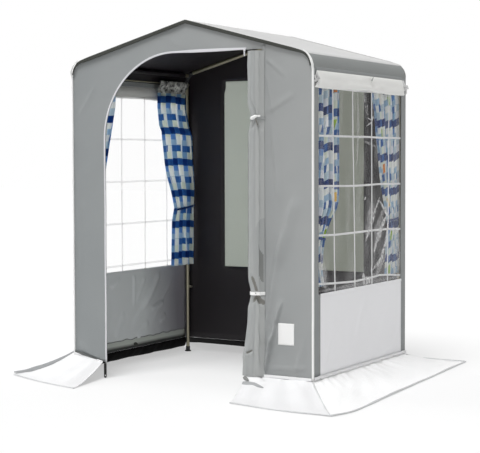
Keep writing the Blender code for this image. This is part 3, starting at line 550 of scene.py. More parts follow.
def whitening_and_highlight_film(name, white):
    """Make the finish of a crease mark; white is how much of it hides what lies behind."""
    made, tree = new_finish(name)
    place = add(tree, "TexCoord").outputs["Object"]
    flecks = add(tree, "TexNoise", {"Scale": 60.0, "Detail": 2.0, "Vector": place})
    share = spread(tree, flecks, 0.35 * white, white, from_min=0.38, from_max=0.62)
    clear = add(tree, "BsdfTransparent", {"Color": WHITE})
    milk = add(tree, "BsdfPrincipled", {"Base Color": linear("F6F6F6"), "Roughness": 0.30})
    add(tree, "OutputMaterial", {"Surface": mixed(tree, share, clear, milk)})
    return made


right_film = clear_film("clear PVC film, worn", 0.970, 0.007, 0.110, 0.050)
left_film = clear_film("clear PVC film, flat", 0.995, 0.004, 0.004)
sharp_mark = whitening_and_highlight_film("clear PVC film, whitened fold and painted highlight", 0.42)
faint_mark = whitening_and_highlight_film("clear PVC film, faint fold", 0.18)
print("the right window's film passes", round(0.970 ** 2, 2), "of the light")

# %% [markdown]
# ## Printed cotton
# The curtains are thin cotton with a common check: dark blue bands with squares between them on
# a white ground, and a few lime and orange squares of 4 cm. Daylight comes through the cloth of
# the left pair, so most of each face passes light on. The cloth has two faces, and light that
# passes both is tinted twice, so what is passed on has the square root of the colour.

# %% Cotton finish
CELL = 0.051
CHECK_WIDE, CHECK_HIGH = 4 * CELL, 0.206
WHITE_GROUND, LIME_TINT, MIST = "EEF1EE", "E2E9DA", "BCD0DC"
NAVY, BLUE, SKY_BLUE, PALE_BLUE = "173A7E", "2F62A6", "80A9CC", "9CBCD6"
# A row starts at a share of the check's height, and its squares at shares of the check's width.
ROWS = [(0.00, [(0.0, NAVY), (0.26, "122F6E"), (0.48, BLUE), (0.74, NAVY)]),
        (0.22, [(0.0, "5B8CCB"), (0.22, WHITE_GROUND), (0.52, LIME_TINT), (0.76, WHITE_GROUND)]),
        (0.40, [(0.0, PALE_BLUE), (0.24, WHITE_GROUND), (0.50, MIST), (0.74, PALE_BLUE)]),
        (0.58, [(0.0, "3E6CAE"), (0.23, MIST), (0.50, WHITE_GROUND), (0.62, BLUE), (0.80, WHITE_GROUND)]),
        (0.78, [(0.0, SKY_BLUE), (0.24, "E6E8EE"), (0.52, LIME_TINT), (0.74, MIST)])]
ACCENTS = {1: [(0.0, "FFFFFF"), (0.50, "9DC22E"), (0.68, "E9B92A"), (0.86, "E2862E")],
           -1: [(0.0, WHITE_GROUND), (0.975, "EDB52C")]}
SPOT_ACROSS, SPOT_DOWN = (0.52, 0.71), (0.30, 0.56)


def bars_of_colour(tree, stops, value):
    """Return a colour that changes in steps along a value from 0 to 1."""
    node = add(tree, "ValToRGB", {"Fac": value})
    node.color_ramp.interpolation = "CONSTANT"
    while len(node.color_ramp.elements) < len(stops):
        node.color_ramp.elements.new(1.0)
    for element, (at, colour) in zip(node.color_ramp.elements, stops):
        element.position = at
        element.color = linear(colour)
    return node


def within(tree, value, low, high):
    """Return 1 where a value lies between two levels."""
    over = reckon(tree, "GREATER_THAN", value, low)
    under = reckon(tree, "LESS_THAN", value, high)
    return reckon(tree, "MULTIPLY", over, under)


def painted(tree, where, under, over):
    """Return one colour, with another over it where a value is 1."""
    return add(tree, "Mix", {"Factor": where, "A": under, "B": over}, data_type="RGBA")


def printed_cotton(name, through, accents):
    """Make the printed cotton; through is the share of light that it passes on."""
    made, tree = new_finish(name)
    flat_place = add(tree, "UVMap", uv_map="cloth")
    repeats = add(tree, "VectorMath", {0: flat_place, 1: (1 / CHECK_WIDE, 1 / CHECK_HIGH, 1)},
                  operation="MULTIPLY")
    in_check = add(tree, "VectorMath", {0: repeats}, operation="FRACTION")
    parts = add(tree, "SeparateXYZ", {0: in_check}).outputs
    colour = bars_of_colour(tree, ROWS[0][1], parts["X"])
    for start, stops in ROWS[1:]:
        row = bars_of_colour(tree, stops, parts["X"])
        colour = painted(tree, within(tree, parts["Y"], start, 1.1), colour, row)
    whole = add(tree, "VectorMath", {0: repeats}, operation="FLOOR")
    pick = add(tree, "TexWhiteNoise", {"Vector": whole}, noise_dimensions="3D")
    spot = bars_of_colour(tree, accents, pick)
    spot_place = reckon(tree, "MULTIPLY", within(tree, parts["X"], *SPOT_ACROSS),
                        within(tree, parts["Y"], *SPOT_DOWN))
    colour = painted(tree, spot_place, colour, spot)
    threads, _ = weave(tree, COTTON_PITCH)
    grain = add(tree, "Bump", {"Strength": 0.4, "Distance": 0.0002, "Height": threads})
    face = add(tree, "BsdfPrincipled", {"Roughness": 0.85, "Specular IOR Level": 0.2,
                                        "Base Color": colour, "Normal": grain})
    paler = add(tree, "Gamma", {"Gamma": 0.5, "Color": colour})
    glow = add(tree, "BsdfTranslucent", {"Color": paler})
    add(tree, "OutputMaterial", {"Surface": mixed(tree, through, face, glow)})
    return made


# The right pair is the same cloth with another share of passed light, chosen so that it looks darker:
# painted shade.
cotton_finishes = {1: printed_cotton("printed cotton, check", 0.20, ACCENTS[1]),
                   -1: printed_cotton("printed cotton, check, sunlit from behind", 0.68, ACCENTS[-1])}
print("the check repeats every", CHECK_HIGH * 1000, "mm with", len(ROWS), "rows")

# %% [markdown]
# ## Steel, nylon, zinc and rubber
# The frame is galvanised steel tube, dull and a little spotted. Its joints are moulded nylon
# with a fine grain, its screws are bright zinc, and the peg strap is black rubber.

# %% Hard finishes
def hard_finish(name, light_hex, dark_hex, roughness, metallic, spot, grain):
    """Make a hard finish whose colour and roughness vary in spots of a real size."""
    made, tree = new_finish(name)
    place = add(tree, "TexCoord").outputs["Object"]
    spots = add(tree, "TexNoise", {"Scale": 1 / spot, "Detail": 5.0, "Vector": place})
    shade = shaded(tree, spots, dark_hex, light_hex)
    rough = spread(tree, spots, roughness - 0.08, roughness + 0.08)
    bumps = add(tree, "Bump", {"Strength": 0.4, "Distance": grain, "Height": spots})
    shader = add(tree, "BsdfPrincipled", {"Metallic": metallic, "Base Color": shade,
                                          "Roughness": rough, "Normal": bumps})
    add(tree, "OutputMaterial", {"Surface": shader})
    return made


rigid_finishes = {
    "steel_tube": hard_finish("galvanised steel", "B5B09A", "9F9A86", 0.42, 0.85, 0.006, 0.0001),
    "moulded_nylon": hard_finish("moulded nylon, black", "3C3E40", "2E3032", 0.50, 0.0, 0.001, 0.0001),
    "zinc_screw": hard_finish("zinc plate", "C6C3B8", "AFACA2", 0.30, 1.0, 0.002, 0.00005),
    "black_rubber": hard_finish("black rubber", "232323", "181818", 0.65, 0.0, 0.002, 0.0001),
    "white_tape": door_binding,
}
for slot, finish in rigid_finishes.items():
    print(slot, "is", finish.name)

# %% [markdown]
# ## Roof
# The roof is one sheet over the ridge and round both shoulders. Between the rafters nothing
# holds it up, so each slope hangs down a little, most at its middle.

# %% Roof
ROOF_SAG, SAG_END_X = 0.010, 0.76

right_round = shoulder(1, SHOULDER_R, ROOF_EDGE_DEG, TOP_DEG, 10)
left_round = [(-x, z) for x, z in reversed(right_round)]
right_slope = sampled([right_round[-1], (0.0, RIDGE_Z)], 30).tolist()
left_slope = sampled([(0.0, RIDGE_Z), left_round[0]], 30).tolist()
profile = np.array(right_round + right_slope[1:] + left_slope[1:] + left_round[1:])
roof_y = np.linspace(-ROOF_HALF_Y, ROOF_HALF_Y, 49)
x, y = grid(profile[:, 0], roof_y)
z, _ = grid(profile[:, 1], roof_y)
free = np.cos(math.pi * y / (2 * ROOF_HALF_Y)) ** 0.8
mid_slope = np.sin(math.pi * np.clip(np.abs(x) / SAG_END_X, 0, 1)) ** 0.8
z = z - ROOF_SAG * free * mid_slope
z = z + 0.0012 * ripple(x, y, 0.16, 3.0) * free
roof = thicken(surface("roof_sheet", xyz(x, y, z), out=(0, 0, 1)), inside=1)
dress(roof, [roof_cloth, black_coating], ["roof_cover"])

# %% [markdown]
# ## Sleeves for the side poles
# The poles along the eaves run in sleeves that are sewn to the roof, so that the roof can't
# slide off them. The sleeves are cut from the roof's cloth, with its black side out.

# %% Sleeves
SLEEVE_HALF_Y = 0.530

for side, tag in SIDE.items():
    pole_low, pole_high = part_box(f"eave_pole_{SIDE[side]}")
    middle = (pole_low + pole_high) / 2
    radius = (pole_high.z - pole_low.z) / 2
    sleeve_y = np.linspace(-SLEEVE_HALF_Y, SLEEVE_HALF_Y, 54)
    around = 2 * (radius + CLOTH) + 0.0020 * ripple(sleeve_y, 0.0, 0.10, 111.0 + side)
    tape(f"{tag}_pole_sleeve", black_coating, xyz(middle.x, sleeve_y, middle.z),
         (0, 0, -1), around, around, 16, 1.0)

# %% [markdown]
# ## Front wall
# The front wall is one panel with the door opening cut out of it. Its faces run as strips
# between the opening's edge and the wall's outer edge. It hangs from the gable, so it is almost
# flat at the left, and the weight of the rolled door pulls long creases in at the right.

# %% Front wall
# A crease is given by its two ends, its width and its height.
FRONT_CREASES = [((0.543, 0.260), (0.618, 0.520), 0.020, 0.0200),
                 ((0.506, 0.110), (0.563, 0.330), 0.020, 0.0230),
                 ((0.560, 0.600), (0.498, 0.330), 0.018, 0.0080),
                 ((0.700, 1.100), (0.575, 0.730), 0.050, 0.0120),
                 ((0.620, 0.900), (0.540, 0.560), 0.030, 0.0110),
                 ((0.790, 0.162), (0.540, 0.148), 0.013, 0.0060),
                 ((0.760, 0.330), (0.700, 0.130), 0.030, 0.0050),
                 ((0.560, 1.500), (0.600, 1.060), 0.030, 0.0060),
                 ((0.520, 1.560), (0.700, 1.660), 0.022, 0.0050),
                 ((0.515, 1.860), (0.640, 1.760), 0.016, 0.0050),
                 ((0.520, 1.780), (0.560, 1.560), 0.014, 0.0045),
                 ((-0.815, 0.215), (-0.690, 0.135), 0.022, 0.0090),
                 ((-0.810, 0.175), (-0.640, 0.125), 0.012, 0.0060),
                 ((-0.800, 1.250), (-0.760, 0.600), 0.020, 0.0030),
                 ((-0.640, 1.750), (-0.780, 1.560), 0.025, 0.0035),
                 ((-0.200, 2.030), (-0.020, 1.935), 0.020, 0.0030)]
UNDER_ROOF = SHOULDER_R - 0.0030
PEAK_Z = RIDGE_Z - 0.0034
STRIP_Z = 1.76


def off_the_frame(x, z):
    """Return 1 in the open part of a gable wall and 0 where it lies on a leg or rafter."""
    return (1 - ramp(0.745, 0.800, np.abs(x))) * ramp(0.0, 0.05, roof_z(x) - z)


def front_relief(x, z):
    """Return how far the front wall stands out from its plane at a place."""
    rise = 0.0040 * ripple(x, z, 0.30, 1.0) + 0.0012 * ripple(x, z, 0.09, 2.0)
    rise = creased(rise, x, z, FRONT_CREASES)
    beside_door = ramp(0.497, 0.522, np.where(x < 0, 1.0, x))
    free = np.maximum(beside_door, ramp(1.90, 1.96, z))
    patched = (ramp(0.570, 0.592, x) * (1 - ramp(0.700, 0.722, x))
               * ramp(0.262, 0.280, z) * (1 - ramp(0.404, 0.424, z)))
    held = off_the_frame(x, z)
    return np.maximum(rise, -0.0040) * held * free * (1 - patched) * ramp(HEM_Z, HEM_Z + 0.05, z)


def arch_line(radius):
    """Return (x, z) points round the quarter arch at the door's upper left corner."""
    turn = np.radians(np.linspace(180, 90, 37))
    return np.stack([ARCH_X + radius * np.cos(turn), ARCH_Z + radius * np.sin(turn)], axis=1)


def slope_point(x):
    """Return a point of the gable's upper edge."""
    return (x, PEAK_Z - SLOPE * abs(x))


arch = arch_line(ARCH_R)
left_shoulder = shoulder(-1, UNDER_ROOF, 0, TOP_DEG, 12)
right_shoulder = shoulder(1, UNDER_ROOF, TOP_DEG, 0, 12)
# A span is a part of the opening's edge, the part of the wall's edge that faces it, and its strips.
spans = [([(JAMB_X, HEM_Z), (JAMB_X, ARCH_Z)], [(-WALL_X, CORNER_HEM_Z), (-WALL_X, ARCH_Z)], 70),
         (arch[:19], [(-WALL_X, ARCH_Z), (-WALL_X, SHOULDER_Z)] + left_shoulder[1:7], 26),
         (arch[18:], left_shoulder[6:] + [slope_point(-0.30)], 26),
         ([arch[-1], (0.02, DOOR_TOP_Z)], [slope_point(-0.30), slope_point(0.0)], 8),
         ([(0.02, DOOR_TOP_Z), (0.40, DOOR_TOP_Z)], [slope_point(0.0), slope_point(0.45)], 24),
         ([(0.40, DOOR_TOP_Z), (SEAM_X, DOOR_TOP_Z)], [slope_point(0.45), slope_point(0.64)], 8),
         ([(SEAM_X, DOOR_TOP_Z), (SEAM_X, STRIP_Z)], [slope_point(0.64)] + right_shoulder, 16),
         ([(SEAM_X, STRIP_Z), (SEAM_X, HEM_Z)], [(WALL_X, SHOULDER_Z), (WALL_X, HEM_Z)], 150)]
door_edge, wall_edge = (np.concatenate([sampled(span[part], span[2])[:-1] for span in spans]
                                       + [np.array([(end_x, HEM_Z)])])
                        for part, end_x in ((0, SEAM_X), (1, WALL_X)))
across = np.linspace(0, 1, 61)[None, :, None]
flat_points = door_edge[:, None] * (1 - across) + wall_edge[:, None] * across
x, z = flat_points[..., 0], flat_points[..., 1]
points = xyz(x, -WALL_Y - front_relief(x, z), z)
front = thicken(surface("front_wall_sheet", points, out=(0, -1, 0)), inside=1)
dress(front, [front_cloth, black_coating], ["front_wall"])

# %% [markdown]
# ## Back wall
# The back wall is the same panel without a door, and has a window opening in its middle. The
# upper left corner of that opening is drawn in a little.

# %% Back wall
BACK_LEFT_X, BACK_RIGHT_X, BACK_SILL_Z, BACK_TOP_Z = -0.500, 0.526, 0.590, 1.824


def corner_pull(x, z):
    """Return how far the back window's upper left corner is drawn in along x."""
    return 0.011 * ramp(1.765, 1.785, z) * (1 - ramp(0.0, 0.12, np.abs(x - BACK_LEFT_X)))


columns = stepped(-WALL_X, (BACK_LEFT_X, 9), (0, 15), (BACK_RIGHT_X, 15), (WALL_X, 9))
rows = stepped(0, (1, 13), (2, 31), (3, 9))
gable = np.array(left_shoulder + [slope_point(0.0)] + right_shoulder)
tops = np.interp(columns, gable[:, 0], gable[:, 1])
levels = np.broadcast_arrays(HEM_Z, BACK_SILL_Z, np.minimum(BACK_TOP_Z, tops - 0.004), tops)
z = np.stack([np.interp(rows, [0, 1, 2, 3], level) for level in np.transpose(levels)], axis=1)
_, x = grid(rows, columns)
y = WALL_Y - 0.0008 * np.abs(ripple(x, z, 0.30, 5.0)) * off_the_frame(x, z)
opening = np.outer(strips(rows, 1, 2), strips(columns, BACK_LEFT_X, BACK_RIGHT_X))
points = xyz(x + corner_pull(x, z), y, z)
back = thicken(surface("back_wall_sheet", points, left_out=opening, out=(0, 1, 0)), inside=1)
dress(back, [wall_cloth, black_coating], ["back_wall"])

# %% [markdown]
# ## Side walls
# Each side wall is a flat sheet with a window opening, and turns in over the eave until it goes
# under the roof sheet; under the eave it is painted darker as shade. Below its window it is lined,
# so it looks grey from inside. The left wall's hem has come up at its front corner, and its lining
# is wrinkled, with painted shade that darkens it towards the back and painted shadow that darkens
# its inner hem towards the ground.

# %% Side walls
BOTH_CREASES = [((0.25, 0.50), (-0.05, 0.22), 0.03, 0.005), ((0.45, 0.52), (0.20, 0.25), 0.02, 0.004)]
LINING_CREASES = [((0.291, 0.566), (0.085, 0.354), 0.024, 0.0150),
                  ((-0.005, 0.567), (-0.007, 0.370), 0.012, 0.0090),
                  ((0.327, 0.367), (0.198, 0.329), 0.014, 0.0120),
                  ((0.353, 0.277), (0.288, 0.240), 0.016, 0.0110),
                  ((-0.167, 0.572), (-0.261, 0.510), 0.024, 0.0090),
                  ((0.120, 0.540), (0.020, 0.400), 0.018, 0.0080),
                  ((0.150, 0.250), (0.020, 0.160), 0.030, 0.0070),
                  ((-0.120, 0.330), (-0.220, 0.200), 0.030, 0.0070)]
WALL_CREASES = {1: BOTH_CREASES, -1: BOTH_CREASES + LINING_CREASES}
WRINKLE_DEPTH = {1: 0.8, -1: 1.6}
EAVE_END_DEG = ROOF_EDGE_DEG - 0.4
HEM_FRONT_Y, HEM_BACK_Y, INNER_X = -0.540, 0.600, -WALL_X + 0.0032
LINED, UNDER_EAVE = 2, 4


def inner_hem():
    """Make the left wall's inner hem, with a dark line along its top and a dark tuck in it, both painted
    shadow.
    """
    y = np.linspace(HEM_FRONT_Y, HEM_BACK_Y, 61)
    wide = 0.061 + 0.008 * ripple(y, 0.0, 0.06, 45.0) + 0.006 * ripple(y, 0.0, 0.10, 44.0)
    z = HEM_Z - 0.0015 + wide / 2
    tuck_y = np.linspace(-0.014, 0.030, 16)
    tuck_z = 0.116 - 0.25 * (tuck_y - 0.008)
    inward = (1, 0, 0)
    return [tape("left_wall_inner_hem", hem_lining, xyz(INNER_X, y, z),
                 inward, wide, 0.0030, square=0.3),
            # The dark line along the hem's top is painted shadow.
            tape("left_wall_hem_shadow_line", wall_shade_cloth,
                 xyz(INNER_X, y, z + wide / 2), inward, 0.006, 0.0040, square=0.5),
            # The dark tuck is painted shadow of a pinch in the hem.
            tape("left_wall_hem_tuck_shadow", dark_edging,
                 xyz(-WALL_X + 0.0056, tuck_y, tuck_z), inward, 0.024 * swell(0.06, 0.94, 16, 0.7),
                 0.0040, square=0.6)]


wall_y = stepped(-WALL_Y + 0.0030, (-WINDOW_Y, 6), (WINDOW_Y, 101), (WALL_Y - 0.0030, 6))
for side, tag in SIDE.items():
    sill_z = SILL_Z[side]
    flat_z = stepped(HEM_Z, (sill_z, 41), (WINDOW_TOP_Z, 37))
    line = np.array([(side * WALL_X, z) for z in flat_z] + shoulder(side, SHOULDER_R, 0, EAVE_END_DEG, 10))
    z, y = grid(line[:, 1], wall_y)
    raised = (CORNER_HEM_Z - HEM_Z) * ramp(-0.550, -0.622, y) if side < 0 else 0.0
    z = z + raised * (1 - ramp(HEM_Z, sill_z, z))
    low = ramp(HEM_Z, HEM_Z + 0.08, z) * (1 - ramp(sill_z - 0.08, sill_z, z))
    wrinkle = creased(0.0015 * ripple(y, z, 0.14, 7.0), y, z, WALL_CREASES[side])
    x = line[:, :1] - side * WRINKLE_DEPTH[side] * np.abs(wrinkle * low)
    opening = np.outer(strips(line[:, 1], sill_z, WINDOW_TOP_Z), strips(wall_y, -WINDOW_Y, WINDOW_Y))
    upper_z = line[1:, 1]
    # Faces under the eave get the darker wall cloth as painted shade, and faces below the sill get the
    # lining.
    part = np.where(upper_z > WINDOW_TOP_Z + 0.002, UNDER_EAVE, 0)
    part = np.where(upper_z <= sill_z + 1e-6, LINED, part)
    wall = surface(f"{tag}_wall_sheet", xyz(x, y, z), left_out=opening, marks=grid(part, wall_y[1:])[0],
                   out=(side, 0, 0))
    thicken(wall, inside=1)
    finishes = [wall_cloth, black_coating, wall_cloth, lining_cloth, wall_shade_cloth, black_coating]
    dress(wall, finishes, [f"{tag}_wall"])
    sewn = inner_hem() if side < 0 else []

# %% [markdown]
# ## Windows
# Each window is a clear film with white bars welded on, which look like a glazed window. The
# film never hangs quite flat: it has shallow waves and a few diagonal folds. The right window's
# bars lean and droop, because its film has stretched.

# %% Windows
PITCH_Y, PITCH_Z, LOWEST_BAR_Z, BAR_WIDTH = 0.257, 0.267, 0.633, 0.012
FILM, FILM_EDGE, BAR_EDGE = 0.0008, 0.0004, 0.004
FILM_X = WALL_X - 0.0020
FILM_CREASES = [((0.215, 1.080), (0.040, 0.790), 0.022, 0.0050),
                ((0.360, 0.930), (0.130, 0.640), 0.022, 0.0060),
                ((0.300, 1.200), (0.200, 0.900), 0.016, 0.0040),
                ((0.060, 1.690), (0.110, 1.420), 0.016, 0.0040),
                ((-0.300, 1.000), (-0.200, 0.700), 0.030, 0.0030)]
# A fold mark is given by its width, its finish and its corners.
FOLD_MARKS = [
    (0.0085, sharp_mark, [(0.248, 1.080), (0.197, 1.015), (0.124, 0.909), (0.061, 0.824)]),
    (0.0100, sharp_mark, [(0.348, 0.967), (0.272, 0.895), (0.198, 0.805), (0.161, 0.745)]),
    (0.0090, sharp_mark, [(0.371, 0.938), (0.348, 0.828), (0.273, 0.706), (0.143, 0.645)]),
    (0.0060, sharp_mark, [(0.243, 1.061), (0.300, 1.012), (0.367, 0.962), (0.377, 0.890)]),
    (0.0050, sharp_mark, [(0.051, 1.085), (0.033, 1.067)]),
    (0.0030, sharp_mark, [(0.075, 1.549), (0.121, 1.535), (0.157, 1.558), (0.121, 1.519), (0.049, 1.495)]),
    (0.0030, faint_mark, [(0.030, 1.608), (0.084, 1.618), (0.048, 1.579), (0.102, 1.565)]),
    (0.0050, faint_mark, [(0.004, 1.676), (0.048, 1.655), (0.013, 1.631)]),
    (0.0040, faint_mark, [(0.022, 1.411), (0.103, 1.396), (0.195, 1.377)]),
    (0.0110, faint_mark, [(0.349, 0.733), (0.273, 0.675), (0.199, 0.617), (0.053, 0.582)]),
    (0.0120, faint_mark, [(0.455, 0.759), (0.525, 0.722), (0.545, 0.640)]),
    (0.0200, faint_mark, [(-0.522, 0.787), (-0.506, 0.699), (-0.474, 0.595)]),
    (0.0200, faint_mark, [(0.300, 1.000), (0.235, 0.900), (0.180, 0.780)]),
    (0.0260, faint_mark, [(0.150, 1.050), (0.105, 0.930), (0.060, 0.860)]),
    (0.0060, faint_mark, [(-0.550, 0.580), (-0.200, 0.578), (0.200, 0.580), (0.550, 0.578)]),
    (0.0090, faint_mark, [(0.440, 0.900), (0.500, 0.840), (0.530, 0.760)]),
    (0.0070, faint_mark, [(-0.060, 1.750), (-0.050, 1.500), (-0.070, 1.250)]),
    (0.0140, sharp_mark, [(0.010, 0.640), (0.040, 0.590), (0.130, 0.596)]),
]
BAR_LEAN = (0.034, 0.036, 0.012, -0.022)
DROOP_Y = (-0.55, -0.35, -0.10, 0.10, 0.25, 0.40, 0.56)
BAR_DROOP = ((0.012, 0.023, 0.033, 0.030, 0.022, 0.030, 0.045),
             (0.012, 0.018, 0.017, 0.016, 0.017, 0.019, 0.026),
             (0.010, 0.012, 0.014, 0.013, 0.011, 0.012, 0.014), (0.0,) * 7, (0.0,) * 7)
BAR_TOP_Z = {1: WINDOW_TOP_Z - BAR_EDGE, -1: 1.705}


def film_relief(y, z, side):
    """Return how far a side window's film stands in from its plane."""
    wave = 0.0030 * ripple(y, 0.3 * z, 0.22, 11.0 * side) + 0.0010 * ripple(y, z, 0.07, 12.0)
    for start, end, width, depth in FILM_CREASES:
        wave = wave + crease(y, z, start, end, width, depth) * (1.0 if side > 0 else 0.4)
    edge = ramp(0, 0.06, WINDOW_Y - np.abs(y)) * ramp(SILL_Z[side], SILL_Z[side] + 0.06, z)
    return np.clip(wave * edge * (1 - ramp(WINDOW_TOP_Z - 0.06, WINDOW_TOP_Z, z)), -0.0005, 0.0075)


def window_bar(side, y, z, depth):
    """Sweep a bar along a side window's film."""
    path = xyz(side * (FILM_X - FILM / 2 - film_relief(y, z, side)), y, z)
    return swept(f"{SIDE[side]}_bar", path, (side, 0, 0), BAR_WIDTH, depth, square=0.35)


for side, tag in SIDE.items():
    film_y = np.linspace(-WINDOW_Y + FILM_EDGE, WINDOW_Y - FILM_EDGE, 81)
    film_z = np.linspace(SILL_Z[side] + FILM_EDGE, WINDOW_TOP_Z - FILM_EDGE, 91)
    z, y = grid(film_z, film_y)
    points = xyz(side * (FILM_X - film_relief(y, z, side)), y, z)
    film = thicken(surface(f"{tag}_window_film", points, out=(side, 0, 0)), FILM)
    dress(film, [right_film if side > 0 else left_film], [f"{tag}_window"])
    bars = []
    for number in range(4):
        at = PITCH_Y * (number - 1.5)
        z = np.linspace(SILL_Z[side] + BAR_EDGE, BAR_TOP_Z[side], 91)
        lean = BAR_LEAN[number] * (WINDOW_TOP_Z - z) / 1.2 if side > 0 else 0.0
        bars.append(window_bar(side, at + 0.0025 * ripple(z, at, 0.25, 21.0) + lean, z, 0.0022))
    for number in range(5):
        at = LOWEST_BAR_Z + PITCH_Z * number
        y = np.linspace(-WINDOW_Y + BAR_EDGE, WINDOW_Y - BAR_EDGE, 81)
        droop = np.interp(y, DROOP_Y, BAR_DROOP[number]) if side > 0 else 0.0
        bars.append(window_bar(side, y, at + 0.0030 * ripple(y, at, 0.30, 22.0) - droop, 0.0018))
    on_film = [dress(join(f"{tag}_window_bars", bars), [bar_finishes[side]])]
    for number, (width, finish, turns) in enumerate(FOLD_MARKS if side > 0 else ()):
        line = sampled(turns, 40)
        y, z = line[:, 0], line[:, 1]
        taper = 4.2 * width * swell(0.04, 0.96, 41, 0.7)
        taper = taper * (1 + 0.5 * ripple(y, z, 0.07, 23.0))
        y = y + 0.004 * ripple(y, z, 0.05, 24.0)
        x = side * (FILM_X + 0.0005 - film_relief(y, z, side))
        on_film.append(tape(f"fold_mark_{number:02d}", finish, xyz(x, y, z), (side, 0, 0),
                            taper, 0.0006, 6))

z, x = grid(np.linspace(BACK_SILL_Z + FILM_EDGE, BACK_TOP_Z - FILM_EDGE, 61),
            np.linspace(BACK_LEFT_X + FILM_EDGE, BACK_RIGHT_X - FILM_EDGE, 41))
edge = ramp(0, 0.06, np.minimum(x - BACK_LEFT_X, BACK_RIGHT_X - x))
edge = edge * ramp(BACK_SILL_Z, BACK_SILL_Z + 0.06, z)
wave = 0.0040 * np.abs(ripple(x, 0.4 * z, 0.20, 31.0)) * edge
wave = wave * (1 - ramp(BACK_TOP_Z - 0.06, BACK_TOP_Z, z))
points = xyz(x + corner_pull(x, z), WALL_Y - 0.0020 - wave, z)
back_film = thicken(surface("back_window_film", points, out=(0, 1, 0)), FILM)
dress(back_film, [left_film], ["back_window"])

# %% [markdown]
# ## Panels below the side windows
# A stiffer pale sheet is sewn over the foot of each side wall. Its upper edge has a folded hem,
# and the sheet wrinkles softly towards the corners.

# %% Lower panels
PANEL_FRONT_Y = -0.536
PANEL_CREASES = [((0.02, 0.50), (-0.08, 0.30), 0.030, 0.0035), ((0.42, 0.47), (0.20, 0.24), 0.035, 0.0030),
                 ((0.55, 0.19), (0.28, 0.14), 0.016, 0.0060), ((0.54, 0.30), (0.44, 0.16), 0.014, 0.0050),
                 ((0.55, 0.43), (0.50, 0.24), 0.014, 0.0030), ((0.06, 0.54), (0.01, 0.40), 0.016, 0.0030),
                 ((-0.50, 0.14), (-0.40, 0.30), 0.020, 0.0030)]

for side, tag in SIDE.items():
    panel_z = np.linspace(HEM_Z + 0.010, SILL_Z[side] + 0.004, 41)
    z, y = grid(panel_z, np.linspace(PANEL_FRONT_Y, WINDOW_Y, 71))
    rise = creased(0.0016 * ripple(y, 0.35 * z, 0.11, 41.0), y, z, PANEL_CREASES)
    held = ramp(0, 0.03, np.minimum(WINDOW_Y - y, y - PANEL_FRONT_Y))
    held = held * ramp(panel_z[0], panel_z[0] + 0.03, z)
    rise = np.abs(rise) * held * (1 - ramp(panel_z[-1] - 0.03, panel_z[-1], z))
    points = xyz(side * (WALL_X + 0.0022 + rise), y, z)
    panel = thicken(surface(f"{tag}_lower_panel_sheet", points, out=(side, 0, 0)), 0.0018)
    dress(panel, [pale_panel], [f"{tag}_lower_panel"])
    y = np.linspace(PANEL_FRONT_Y, WINDOW_Y, 41)
    z = SILL_Z[side] - 0.004 + 0.0015 * ripple(y, 0.0, 0.20, 42.0)
    hem = tape(f"{tag}_panel_hem", pale_panel, xyz(side * (WALL_X + 0.0030), y, z),
               (side, 0, 0), 0.016, 0.0030)

# %% [markdown]
# ## Folded window covers
# Each side window has a cover that is folded up under the eave and held by a toggle. The folds
# lie on each other, so its face is in steps, and its lower edge is wider than its upper one.

# %% Window covers
COVER_TOP_Z, COVER_LOW_Z = 1.789, 1.700
COVER_FRONT_Y, COVER_BACK_Y = -0.600, 0.558
# The section of a folded cover says how far out each point lies, and how far up as a share.
COVER_SECTION = np.array([(0.0008, 1.0000), (0.0040, 0.9990), (0.0070, 0.9850), (0.0105, 0.9000),
                          (0.0150, 0.7800), (0.0175, 0.6200), (0.0190, 0.4600), (0.0225, 0.3600),
                          (0.0250, 0.2200), (0.0255, 0.1000), (0.0230, 0.0300), (0.0180, 0.0000),
                          (0.0120, 0.0060), (0.0060, 0.0300), (0.0008, 0.0600)])
COVER_TABS = ((COVER_FRONT_Y + 0.020, -0.617, 1.762), (COVER_BACK_Y + 0.004, 0.640, 1.765))
TOGGLE_Y, TOGGLE_LOW_Z, TOGGLE_HIGH_Z = 0.085, 1.760, 1.784
FLANGE_Z, STRAP_TOP_Z = 1.790, 1.786

